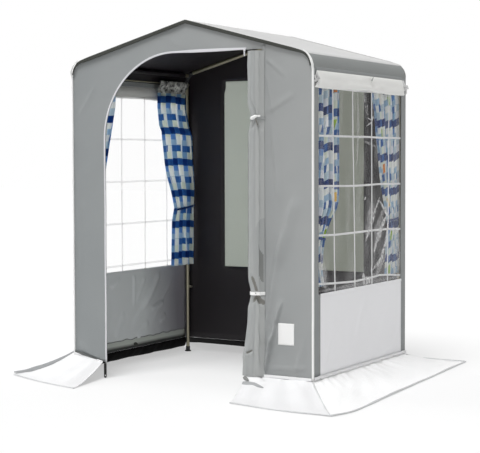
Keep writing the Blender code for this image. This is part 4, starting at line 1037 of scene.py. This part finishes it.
for side, tag in SIDE.items():
    along = stepped(0.0, (0.004, 2), (0.996, 79), (1.0, 2))
    share, out = grid(along, COVER_SECTION[:, 0])
    _, up = grid(along, COVER_SECTION[:, 1])
    sag = 0.005 * np.cos((2 * share - 1) * math.pi * 1.5) - 0.004 + 0.0040 * ripple(share, up, 0.12, 51.0)
    z = COVER_LOW_Z + up * (COVER_TOP_Z - COVER_LOW_Z) + sag * (1 - up)
    front_y = COVER_FRONT_Y + 0.018 - 0.034 * (1 - up) ** 2
    back_y = COVER_BACK_Y + 0.004 + 0.024 * (1 - up)
    y = front_y + (back_y - front_y) * share
    puff = 1 + 0.22 * ripple(share * 1.6, up * 0.5, 0.16, 52.0)
    puff = puff * (1 - 0.16 * bump(TOGGLE_Y, 0.020, y)) * ramp(-0.02, 0.03, np.minimum(share, 1 - share))
    points = xyz(side * (WALL_X + 0.0003) + side * out * np.maximum(puff, 0.02), y, z)
    cover = surface(f"{tag}_cover_folded", points, ring=True, out=(side, 0, 0))
    dress(cover, [cover_cloth], [f"{tag}_cover_roll"], "cover_" + tag)
    y = np.linspace(COVER_FRONT_Y + 0.006, COVER_BACK_Y + 0.004, 61)
    path = xyz(side * (WALL_X + 0.00035), y, FLANGE_Z + 0.0010 * ripple(y, 0.0, 0.15, 53.0))
    tape(f"{tag}_cover_flange", wall_cloth, path, (side, 0, 0), 0.036, 0.0005, square=0.3)
    tabs = []
    share = np.linspace(0, 1, 25)
    for start_y, end_y, start_z in COVER_TABS:
        for layer in range(3):
            y = start_y + (end_y - start_y) * share * (1 - 0.15 * layer)
            z = start_z - 0.014 * layer - 0.020 * share + 0.005 * np.sin(8 * share + 2.0 * layer)
            x = WALL_X + 0.006 + 0.004 * layer + 0.006 * np.sin(9 * share + 1.5 * layer)
            height = (0.040 - 0.010 * layer) * (1 - 0.35 * share) * (1 + 0.25 * np.sin(13 * share + layer))
            tabs.append(swept(f"{tag}_cover_tab", xyz(side * x, y, z), (side, 0, 0.3 - 0.3 * layer),
                              height, 0.0035, 10, 0.6))
    dress(join(f"{tag}_cover_end_tabs", tabs), [roof_cloth])
    z = np.linspace(COVER_LOW_Z + 0.050, STRAP_TOP_Z, 25)
    bow = np.sin(math.pi * (z - z[0]) / (z[-1] - z[0]))
    path = xyz(side * (WALL_X + 0.0120 + 0.0130 * bow ** 0.5), TOGGLE_Y, z)
    tape(f"{tag}_cover_strap", cover_cloth, path, (side, 0, 0), 0.010, 0.0016,
         body="cover_" + tag)
    z = np.linspace(TOGGLE_LOW_Z, TOGGLE_HIGH_Z, 12)
    path = xyz(side * (WALL_X + 0.0255), TOGGLE_Y - 0.012 + 0.9 * (z - TOGGLE_LOW_Z), z)
    girth = rounded(0.0075, 0.5)
    tape(f"{tag}_cover_toggle_bar", seam_cloth, path, (side, 0, 0), girth, girth, 12, 1.0,
         "cover_" + tag)

# %% [markdown]
# ## Back window cover
# The back window's cover hangs closed. It is thin grey-green cloth, and from inside it is the
# bright field behind the back window, because daylight comes through it.

# %% Back cover
low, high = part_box("back_cover")
z, x = grid(np.linspace(low.z, high.z, 61), np.linspace(low.x, high.x, 61))
down = (high.z - z) / (high.z - low.z)
wave = 0.0012 * np.abs(np.sin(2.5 * math.pi * (x + 0.575) / 1.15)) * down + 0.0012 * down
wave = wave + 0.0010 * np.abs(ripple(x, z, 0.16, 61.0)) * ramp(0, 0.1, down)
points = xyz(x, WALL_Y + 0.0026 + wave, z)
rear_cover = thicken(surface("back_cover_sheet", points, out=(0, 1, 0)), 0.0016)
dress(rear_cover, [back_cover_cloth], ["back_cover"], "cover_back")

# %% [markdown]
# ## Rolled door
# The door is rolled up beside its seam and held by two ties. A roll of cloth has a spiral edge,
# swells between its ties, is pinched by them, and opens out where it is free at the bottom.

# %% Rolled door
ROLL_Y, ROLL_TOP_Z, ROLL_LOW_Z = -0.640, 1.905, 0.098
TIES = {"upper": 1.534, "lower": 0.562}
FOLD_WIDTHS = (0.030, 0.065)
# Whether a fold lies above its tie, how it leans, how deep it is and how far it reaches.
TIE_FOLDS = ((True, -8.0, 1.0, 0.12), (False, -13.0, 0.8, 0.07), (False, 13.0, 1.0, 0.08))
TOGGLE_WIDTH, TOGGLE_SLOPE = {"upper": 0.0200, "lower": 0.0120}, {"upper": 0.40, "lower": 0.0}
TAIL_LENGTH = {"upper": 0.040, "lower": 0.014}
EDGE_SHADE, LAP_LIGHT, PINCH_SHADE = 1, 2, 3


def roll_half(z):
    """Return the rolled door's half width at a height."""
    width = 0.0410 + 0.021 * (1 - ramp(ROLL_LOW_Z, 0.50, z))
    for tie_z in TIES.values():
        width = width - 0.0090 * (1 - ramp(0.010, 0.090, np.abs(z - tie_z)))
    return width


def tie_folds(angle, z):
    """Return how deep the slanted folds beside the ties are, and the level one near the foot."""
    level = bump(0.0, 0.007, z - 0.236 - 0.020 * (angle - 4.7))
    deep = 0.30 * level * ramp(3.9, 4.3, angle) * (1 - ramp(4.8, 5.2, angle))
    for tie_z, wide in zip(TIES.values(), FOLD_WIDTHS):
        far = z - tie_z
        for above, lean, share, reach in TIE_FOLDS:
            here = np.where((far > 0) == above, (1 - ramp(0.5 * reach, reach, np.abs(far))), 0.0)
            ridge = np.cos(angle - 5.30 - lean * np.abs(far)) - 1
            deep = deep + 0.40 * share * here * ramp(0.006, 0.016, np.abs(far)) * np.exp(ridge / wide)
    return deep


def roll_point(angle, z, grow=0.0, rough=1.0):
    """Return a point of the rolled door's outside, squared where its cloth comes off the seam."""
    cosine, sine = np.cos(angle), np.sin(angle)
    half = roll_half(z)
    depth = 0.026 * (half / 0.041) ** 0.6
    pinch = np.zeros_like(z)
    for tie_z in TIES.values():
        pinch = pinch + 1 - ramp(0.0, 0.16, np.abs(z - tie_z))
    pleat = 0.05 + 0.06 * np.sin(5 * angle + 11 * z) * pinch
    pleat = pleat + 0.090 * ripple(3 * cosine + 9.0, z / 0.07 + 2.0 * sine, 1.0, 71.0)
    pleat = pleat + 0.030 * ripple(6 * cosine + 5.0, z / 0.035 + 3.0 * sine, 1.0, 72.0)
    pleat = pleat + 0.035 * np.exp((np.cos(angle - 4.3 - 0.5 * np.sin(4 * z)) - 1) / 0.02)
    flare = 1 - ramp(ROLL_LOW_Z, 0.45, z)
    pleat = pleat + 0.130 * flare * np.sin(4 * angle + 9 * z) ** 2
    near_seam = ramp(-0.45, 0.00, sine) * ramp(0.2, 0.8, cosine)
    scale = 1 - rough * (np.clip(pleat, 0.0, 0.24) + tie_folds(angle, z)) * (1 - near_seam)
    squared = np.where((cosine > 0) & (sine > -0.6), 0.45, 1.0)
    across = np.sign(cosine) * np.abs(cosine) ** squared
    lap = ramp(0.80, 0.97, cosine) * (1 - ramp(0.20, 0.45, sine)) * ramp(-0.40, 0.0, sine)
    x = SEAM_X - 0.0008 - half + (half * scale + grow) * across + 0.0180 * lap
    y = ROLL_Y + (depth * scale + grow) * sine
    y = y + (ROLL_Y + 0.0117 - y) * lap
    return xyz(x, y, z)


z, angle = grid(np.linspace(ROLL_LOW_Z, ROLL_TOP_Z, 361), np.linspace(0, 2 * math.pi, 91)[:-1])
cosine, sine = np.cos(angle), np.sin(angle)
# Faces on the roll's left edge and under its lap get painted shade, faces on the lap get painted light, and
# faces deep in the folds beside the ties get painted shade.
edge_shade = (cosine < -0.80) & (sine < 0.1) & (z < 1.52) & (z > 0.60)
under_lap = (angle > 5.60) & (angle < 6.13 - 0.45 * ramp(0.76, 0.84, z))
edge_shade = edge_shade | (under_lap & (z > 0.640 + 0.02 * np.sin(9 * angle)) & (z < 0.835))
lap_light = (cosine > 0.45) & (sine < 0.2) & ((z < 0.54) | (z > 0.88 + 0.10 * cosine))
pinch_shade = (tie_folds(angle, z) > 0.16) & (z < 1.0)
marks = np.where(pinch_shade, PINCH_SHADE, np.where(edge_shade, EDGE_SHADE, np.where(lap_light, LAP_LIGHT, 0)))[:-1]
roll_piece = surface("door_roll_cloth", roll_point(angle, z), ring=True, marks=marks)
finishes = [roll_cloth, fold_shade_cloth, lap_light_cloth, shaded_fold]
dress(roll_piece, finishes, ["door_roll"], "door")

for name, tie_z in TIES.items():
    ring = roll_point(FULL_TURN, np.full_like(FULL_TURN, tie_z), grow=0.0030, rough=0.0)
    band = swept(f"door_tie_{name}_band", ring, ring - ring.mean(axis=0), 0.019, 0.0022)
    dress(band, [white_tape if name == "lower" else roll_cloth], [f"door_tie_{name}"], "door")
    front_y = ring[:, 1].min() - 0.004
    left_x = SEAM_X - roll_half(np.array(tie_z))
    bar_x = np.linspace(left_x - 0.016, left_x + 0.022, 12)
    bar_z = tie_z - 0.004 + TOGGLE_SLOPE[name] * (bar_x - bar_x[0])
    girth = rounded(TOGGLE_WIDTH[name], 0.55)
    bar = swept(f"tie_bar_{name}", xyz(bar_x, front_y, bar_z), (0, -1, 0), girth, girth, 12, 1.0)
    arm_x = np.linspace(bar_x[-2], bar_x[-1] + 0.019, 12)
    arm_y = front_y + 0.35 * (arm_x - arm_x[0])
    arm = swept(f"tie_arm_{name}", xyz(arm_x, arm_y, bar_z[-1]), (0, -1, 0), 0.010, 0.003, square=0.5)
    dress(join(f"door_tie_{name}_toggle", [bar, arm]), [white_tape], body="door")
    z = np.linspace(tie_z + 0.006, tie_z - TAIL_LENGTH[name], 12)
    x = left_x + 0.014 + 0.014 * ((tie_z - z) / 0.040)
    y = front_y - 0.001 + 0.004 * ramp(0, 0.04, tie_z - z)
    tape(f"door_tie_{name}_tail", shaded_fold, xyz(x, y, z), (0, -1, 0), 0.007, 0.0018,
         body="door")

# %% [markdown]
# ## Curtains
# A curtain is a flat cloth about twice as wide as the space it fills, gathered on a rail and
# held in by a tie. Its edges follow the photographed line; its pleats run from the heading down
# into the tie and open again below. It slides along its rail as it hangs, pleats and all.

# %% Curtains
RAIL_Z = 1.808
CURTAIN_LOW_Z, CURTAIN_HIGH_Z, HEADING_LOW_Z = 0.600, 1.822, 1.737
CURTAIN_CUT_Z = 1.834
NEAREST_WALL_X = 0.7988
# A curtain is given by the height of its tie, where in the check its print starts, how far the
# print droops, and its shape. A row of a shape is a height and the inner edge there; the outer
# edge and the distance from the tent's middle follow where they differ from AT_REST.
AT_REST = (0.582, 0.781)
CURTAIN_SHAPES = {
    "front_right": (0.868, 0.86, 0.026,
                    [(1.834, 0.242), (1.800, 0.242), (1.150, 0.240), (1.060, 0.248), (1.020, 0.272),
                     (0.986, 0.318), (0.954, 0.352), (0.916, 0.385), (0.878, 0.415), (0.800, 0.437),
                     (0.700, 0.450), (0.600, 0.425)]),
    "back_right": (0.937, 0.60, 0.018,
                   [(1.834, 0.200), (1.720, 0.205), (1.657, 0.231), (1.587, 0.258), (1.462, 0.279),
                    (1.351, 0.308), (1.197, 0.340), (1.161, 0.356), (1.038, 0.402), (0.895, 0.462),
                    (0.780, 0.426), (0.600, 0.415)]),
    "back_left": (0.985, 0.46, 0.008,
                  [(1.834, 0.245, 0.590, 0.781), (1.800, 0.240, 0.590, 0.781), (1.650, 0.236, 0.584, 0.781),
                   (1.530, 0.220, 0.582, 0.757), (1.490, 0.215, 0.576, 0.735), (1.450, 0.220, 0.590, 0.735),
                   (1.279, 0.251, 0.600, 0.735), (1.212, 0.270, 0.608, 0.735), (1.170, 0.288, 0.612, 0.735),
                   (1.094, 0.324, 0.614, 0.735), (0.985, 0.362, 0.600, 0.735), (0.900, 0.335, 0.603, 0.735),
                   (0.600, 0.320, 0.600, 0.735)]),
    "front_left": (0.930, 0.80, 0.012,
                   [(1.834, 0.247), (1.800, 0.240), (1.640, 0.244), (1.500, 0.284), (1.300, 0.340),
                    (1.100, 0.400), (0.930, 0.440), (0.800, 0.430), (0.600, 0.410)]),
}
PLEATS = 6
PLEAT_DEPTH = 0.0160
CLOTH_WIDE = 0.62


def curtain_shape(shape, z):
    """Return a curtain's inner edge, outer edge and distance from the tent's middle at a height."""
    rows = np.array([row + AT_REST[len(row) - 2:] for row in shape])[::-1]
    return [np.interp(z, rows[:, 0], rows[:, k]) for k in (1, 2, 3)]


for tag, (tie_z, print_start, drop, shape) in CURTAIN_SHAPES.items():
    y_side = -1 if tag.startswith("front") else 1
    x_side = -1 if tag.endswith("left") else 1
    z, u = grid(np.linspace(CURTAIN_LOW_Z, CURTAIN_HIGH_Z, 140), np.linspace(0, 1, 193))
    inner, outer, plane = curtain_shape(shape, z)
    gathered = bump(tie_z, 0.14, z)
    wander = 0.035 * ripple(u, z, 0.45, 81.0 + y_side) + 0.015 * ripple(u, z, 0.14, 82.0 + x_side)
    phase = 2 * math.pi * PLEATS * (u + wander * np.sin(math.pi * u))
    uneven = 0.84 + 0.16 * ripple(u * 2.2, z * 0.25, 0.35, 83.0 + x_side)
    heading = ramp(RAIL_Z - 0.055, RAIL_Z - 0.030, z)
    pleats = PLEAT_DEPTH * uneven * (np.sin(phase) + 0.22 * np.sin(2 * phase + 0.8))
    small = 0.0014 * np.sin(3.7 * phase + 1.0 + 3.0 * ripple(u, z, 0.30, 85.0))
    small = small + 0.0012 * ripple(3 * u, z, 0.12, 86.0)
    frill = 0.0080 * np.sin(3.1 * phase + 1.3 + 4.0 * ripple(u, z, 0.10, 89.0))
    frill = frill + 0.0080 * ripple(u, z, 0.025, 84.0)
    over_rail = ramp(RAIL_Z - 0.030, RAIL_Z - 0.012, z)
    x = plane - 0.0042 + (pleats + small * (0.5 + gathered)) * (1 - 0.72 * heading)
    x = np.minimum(x + frill * heading - 0.0150 * over_rail, NEAREST_WALL_X)
    y = outer - (outer - inner) * u
    y = y + 0.0030 * np.cos(phase) * (1 - heading) * np.sin(math.pi * u)
    drape = drop * ripple(u, 0.05 * z, 0.16, 87.0 + x_side + 2 * y_side)
    across = u * CLOTH_WIDE + CELL * (0.5 + 2.0 * ripple(u * 0.8, z, 0.5, 88.0 + y_side) * drop / 0.026)
    drape = drape + (0.007 if x_side > 0 else 0.002) * np.sin(phase + 0.8)
    cut = np.stack([across, (CURTAIN_CUT_Z - z) + drape + print_start * CHECK_HIGH], axis=-1)
    marks = np.where(z[:-1, :-1] > HEADING_LOW_Z, 1, 0)
    points = xyz(x_side * x, y_side * y, z)
    curtain = surface(f"curtain_{tag}_cloth", points, cloth=cut, marks=marks, out=(-x_side, 0, 0))
    thicken(curtain, 0.0008)
    dress(curtain, [cotton_finishes[x_side], heading_tape], [f"curtain_{tag}"],
          "curtain_" + tag)
    inner, outer, plane = curtain_shape(shape, tie_z)
    sine, cosine = np.sin(FULL_TURN), np.cos(FULL_TURN)
    y = (inner + outer) / 2 + ((outer - inner) / 2 + 0.004) * cosine
    x = plane - 0.0050 + 0.0205 * sine
    z = tie_z + 0.10 * (y - (inner + outer) / 2)
    tape(f"curtain_{tag}_tie_loop", tie_cotton, xyz(x_side * x, y_side * y, z),
         xyz(x_side * sine, y_side * cosine, 0.0), 0.014, 0.0012, square=0.5, body="curtain_" + tag)

# %% [markdown]
# ## Flaps along the ground
# The flaps are stiffer sheets, white outside and black inside, sewn to the hem and laid out on
# the ground so that pegs or stones can hold them. They ruffle where they leave the hem, and
# their free edges lift a little. At the left front corner the hem is drawn up.

# %% Flaps
FLAP_X, FLAP_Y = 1.1445, 1.030


def blend(low, high, share):
    """Mix two numbers."""
    return low + (high - low) * share


def right_edge(u):
    """Return the right flap's outer edge."""
    y = blend(-FLAP_Y - 0.025, FLAP_Y - 0.002, u)
    return 1.122 - 0.066 * y - 0.062 * bump(-1.10, 0.135, y), y


def front_right_edge(u):
    """Return the outer edge of the front flap right of the door."""
    return blend(0.497, 1.1345, u), blend(-0.988, -FLAP_Y - 0.026, u) - 0.022 * np.sin(math.pi * u) ** 1.5


def front_left_edge(u):
    """Return the outer edge of the front flap left of the door."""
    return blend(-FLAP_X + 0.004, -0.521, u), blend(-0.8035, -1.020, u) - 0.020 * np.sin(math.pi * u)


def left_edge(u):
    """Return the left flap's outer edge."""
    return blend(-FLAP_X + 0.002, -1.100, u) + 0.015 * np.sin(3 * math.pi * u), blend(-0.7995, 0.985, u)


def back_edge(u):
    """Return the back flap's outer edge."""
    return blend(-1.096, 1.050, u), blend(0.988, FLAP_Y - 0.002, u) - 0.020 * np.sin(math.pi * u)


# A flap is given by the two ends of its hem, its outer edge and how much it ruffles.
FLAPS = {
    "flap_right": ((0.8088, -0.6198, HEM_Z), (0.8088, 0.6238, HEM_Z), right_edge, 1.0),
    "flap_front_right": ((0.390, -0.6238, HEM_Z), (0.8048, -0.6238, HEM_Z), front_right_edge, 0.6),
    "flap_front_left": ((-0.8048, -0.6238, CORNER_HEM_Z), (-0.602, -0.6238, 0.0995), front_left_edge, 0.6),
    "flap_left": ((-0.8088, -0.6198, HEM_Z), (-0.8088, 0.6238, HEM_Z), left_edge, 0.6),
    "flap_back": ((-0.8048, 0.6238, HEM_Z), (0.8048, 0.6238, HEM_Z), back_edge, 0.8),
}
# The folds laid on the front flap below the rolled door are grey: painted shade of its creases.
FRONT_PLEATS = (("upper", fold_shade_cloth, 0.022, [(0, 6), (5, 7), (10, 8)]),
                ("lower", hip_shade_cloth, 0.026, [(0, 9), (9, 10), (20, 10), (36, 11)]))
WELT_RISE = {"flap_right": 0.0110, "flap_front_right": 0.0060, "flap_back": 0.0060}
WELT_X, WELT_Y = 0.0105, 0.0068

for name, (start, end, edge, ruffle) in FLAPS.items():
    run = math.dist(start, end)
    u, v = grid(np.linspace(0, 1, 121), np.linspace(0, 1, 37))
    edge_x, edge_y = edge(u)
    hem_x, hem_y, hem_z = (blend(start[k], end[k], u) for k in range(3))
    steep = 1.6
    if name == "flap_left":
        hem_z = np.maximum(hem_z, blend(CORNER_HEM_Z - 0.003, HEM_Z, np.minimum(u / 0.0505, 1.0)))
        steep = blend(1.6, 2.9, ramp(0.0, 0.12, u)) + 3.0 * ramp(0.06, 0.24, u)
    x, y = blend(hem_x, edge_x, v), blend(hem_y, edge_y, v)
    fold = 0.5 - 0.5 * np.cos(2 * math.pi * (3.0 * u + 0.15))
    fold_high = 0.002 if name == "flap_left" else 0.010
    lift = (hem_z - 0.004) * (1 - v) ** steep + fold_high * fold * np.sin(math.pi * v)
    pleat = ripple(u * run, v * 0.05, 0.055, 91.0) * np.exp(-v / 0.16) * ramp(0, 0.03, v)
    long_fold = ripple(u * run + 0.3 * v, v * 0.3, 0.12, 92.0) * np.sin(math.pi * v)
    lift = lift + ruffle * (0.020 * pleat + 0.009 * long_fold)
    if name == "flap_left":
        lift = lift + 0.024 * bump(0.62, 0.20, v) * bump(0.035, 0.035, u) * ramp(0, 0.02, u)
    if name == "flap_front_right":
        lift = lift + 0.024 * bump(0.14, 0.07, v) * (1 - ramp(0.20, 0.34, u))
        lift = np.minimum(lift, HEM_Z - 0.0025)
    curl = 0.014 * ruffle * np.clip(ripple(u * run, 0.0, 0.33, 93.0) + 0.25, 0, 1) * ramp(0.72, 1.0, v)
    z = 0.0034 + np.maximum(lift, 0.0) + curl
    z = np.minimum(z, hem_z - 0.0010 + 0.020 * ramp(0.035, 0.10, v))
    points = xyz(x, y, z)
    flap = thicken(surface(name + "_sheet", points, out=(0, 0, 1)), 0.0020, inside=1)
    dress(flap, [side_flap_lit if name == "flap_right" else white_flap, flap_coating], [name])
    width = float(np.hypot(np.diff(edge_x[:, -1]), np.diff(edge_y[:, -1])).sum() + run) / 2
    girth = (0.014 if name == "flap_right" else 0.009) + 0.006 * ripple(u[:, -1] * run, 0.0, 0.11, 96.0)
    path = points[:, -1] + np.array([0.0, 0.0, 0.0004])
    on_flap = [tape(name + "_rolled_edge", flap_edge_shadow, path, (0, 0, 1), girth, 0.6 * girth,
                    square=0.8)]
    u = np.linspace(0, 1, 161)
    x, y, z = blend(start[0], end[0], u), blend(start[1], end[1], u), blend(hem_z[0, 0], hem_z[-1, 0], u)
    z = z + WELT_RISE.get(name, 0.0)
    z = z + ruffle * 0.0035 * ripple(u * run, 0.0, 0.045, 94.0)
    if start[1] == end[1]:
        out = np.array([0.0, math.copysign(1.0, start[1]), 0.0])
        path = xyz(x, y, z) + out * WELT_Y
    else:
        out = np.array([math.copysign(1.0, start[0]), 0.0, 0.0])
        path = xyz(x, y, z) + out * WELT_X
    if name == "flap_front_right":
        path = path[u > 0.16]
    on_flap.append(tape(name + "_welt", white_flap, path, out,
                        0.017 if end[0] > 0 else 0.011, 0.0030, square=0.5))
    for tag, finish, high, places in FRONT_PLEATS if name == "flap_front_right" else ():
        path = sampled([points[i, j] + np.array([0, 0, 0.004]) for i, j in places], 24)
        on_flap.append(tape(f"flap_front_right_pleat_{tag}", finish, path, (0, -1, 0.6),
                            high * swell(0.25, 0.98, 25, 0.8), 0.0030, square=0.6))

# A hip seam is given by its side, its end at the hem, its far end, its height and its finish.
# The left one is a grey strip that stands for the left flap's slope beyond the hip, painted shade;
# the right one is a thin line in the rolled edges' painted shadow.
HIPS = ((-1, (-0.8105, -0.6280, 0.140), (-1.1400, -0.8020, 0.010), 0.026, hip_shade_cloth),
        (1, (0.8130, -0.6290, 0.098), (1.1320, -1.0540, 0.006), 0.007, flap_edge_shadow))
share = np.linspace(0, 1, 61)
for side, corner, far, height, finish in HIPS:
    line = np.array(corner) + (np.array(far) - np.array(corner)) * share[:, None]
    line[:, 2] = far[2] + (corner[2] - far[2]) * (1 - share) ** 1.7 + 0.35 * height
    stand = height * np.sin(math.pi * np.clip(0.08 + 0.86 * share ** 1.4, 0, 1)) ** 0.8
    stand = stand * (1 + 0.25 * ripple(share, 0.0, 0.18, 95.0))
    tape(f"flap_hip_seam_shade_{SIDE[side]}", finish, line, (0.35, -1.0, 0.3), stand, 0.0030,
         square=0.6)

# %% [markdown]
# ## Trim
# Dark edging binds the roof's ends, white piping closes the front corners, and white tape
# follows the door opening. A doubled strip covers the seam that the rolled door hangs from.

# %% Trim
EDGING, EDGING_OUT = 0.024, 0.0015
PIPING_X = WALL_X + 0.0020
TAPE_OUT = 0.006


def gable_line(drop):
    """Return a line along the gable from one shoulder to the other, drop below the roof's edge."""
    radius = SHOULDER_R + EDGING_OUT - drop
    peak = (0.0, RIDGE_Z + EDGING_OUT - drop / math.cos(PITCH))
    return sampled(shoulder(-1, radius, 2, TOP_DEG, 14) + [peak] + shoulder(1, radius, TOP_DEG, 2, 14), 160)


def front_path(line, out):
    """Return places on the front wall's face, out metres in front of it."""
    x, z = np.array(line, float).T
    return xyz(x, -WALL_Y - front_relief(x, z) - out, z)


outer, middle = gable_line(0.0), gable_line(EDGING / 2)
slim = 1 - 0.16 * ramp(-0.70, 0.50, middle[:, :1])
line = outer + (middle - outer) * slim
ends = np.minimum(np.arange(161), np.arange(161)[::-1])
width = EDGING * slim[:, 0] * (0.35 + 0.65 * ramp(0, 16, ends))
for y_side, tag in ((-1, "front"), (1, "back")):
    path = xyz(line[:, 0], y_side * (ROOF_HALF_Y + 0.0016), line[:, 1])
    tape(f"gable_edging_{tag}", dark_edging, path, (0, y_side, 0), width, 0.0026)

for side, tag in SIDE.items():
    up = sampled([(side * PIPING_X, HEM_Z + 0.001), (side * PIPING_X, SHOULDER_Z)], 90)
    line = np.concatenate([up, np.array(shoulder(side, SHOULDER_R + 0.0040, 0, 62, 16))[1:]])
    x, z = line[:, 0], line[:, 1]
    bend = ramp(SHOULDER_Z - 0.02, SHOULDER_Z + 0.03, z)
    y = -WALL_Y - 0.0020 - 0.0150 * bend + 0.0012 * ripple(z, 0.0, 0.20, 101.0)
    width = 0.0135 * (1 - 0.5 * ramp(SHOULDER_Z + 0.03, SHOULDER_Z + 0.09, z))
    tape(f"corner_piping_{tag}", white_tape, xyz(x, y, z), (side, -1, 0), width, width * 0.8,
         12, 0.9)

up = sampled([(JAMB_X - TAPE_OUT, HEM_Z + 0.002), (JAMB_X - TAPE_OUT, ARCH_Z)], 60)
across = sampled([(ARCH_X, DOOR_TOP_Z + TAPE_OUT), (SEAM_X - 0.002, DOOR_TOP_Z + TAPE_OUT)], 30)
line = np.concatenate([up[:-1], arch_line(ARCH_R + TAPE_OUT), across[1:-5]])
along = np.arange(len(line))
width = 0.011 + 0.007 * ramp(96, 104, along) - 0.008 * ramp(108, 127, along)
tape("door_opening_tape", door_binding, front_path(line, 0.0012), (0, -1, 0), width, 0.0022)

line = sampled([(SEAM_X + 0.011, HEM_Z + 0.003), (SEAM_X + 0.011, 1.938)], 150)
tape("door_seam_strip", front_cloth, front_path(line, 0.0006), (0, -1, 0), 0.021, 0.0010)

# A dark strip along the front wall's hem at its left corner is painted shadow under the hem's fold.
line = sampled([(-0.806, 0.1490), (-0.770, 0.1400), (-0.700, 0.1240), (-0.640, 0.1120)], 60)
tape("front_hem_fold_shadow", hem_shadow_cloth, front_path(line, 0.0065), (0, -1, -0.5),
     0.024 * swell(0.10, 0.98, 61, 0.8), 0.0030, square=0.6)

# %% [markdown]
# ## Label patch
# A sewn patch sits low on the front wall beside the corner. It is left bare.

# %% Label patch
PATCH_LOW, PATCH_HIGH = (0.5945, 0.281), (0.6950, 0.402)
x, z = grid(*np.linspace(PATCH_LOW, PATCH_HIGH, 15).T)
points = xyz(x, -WALL_Y - front_relief(x, z) - 0.0020, z)
patch = thicken(surface("label_patch", points, out=(0, -1, 0)), 0.0010)
dress(patch, [white_tape])

# %% [markdown]
# ## Finishes for the rigid parts
# The tubes, joints, screws, feet, the zip slider and the peg strap keep their own shapes and
# get their finishes here.

# %% Rigid parts
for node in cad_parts.values():
    if not node.hide_render:
        for place in node.material_slots:
            place.material = rigid_finishes[place.material.name]
print(sum(not node.hide_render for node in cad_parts.values()), "rigid parts keep their shapes")
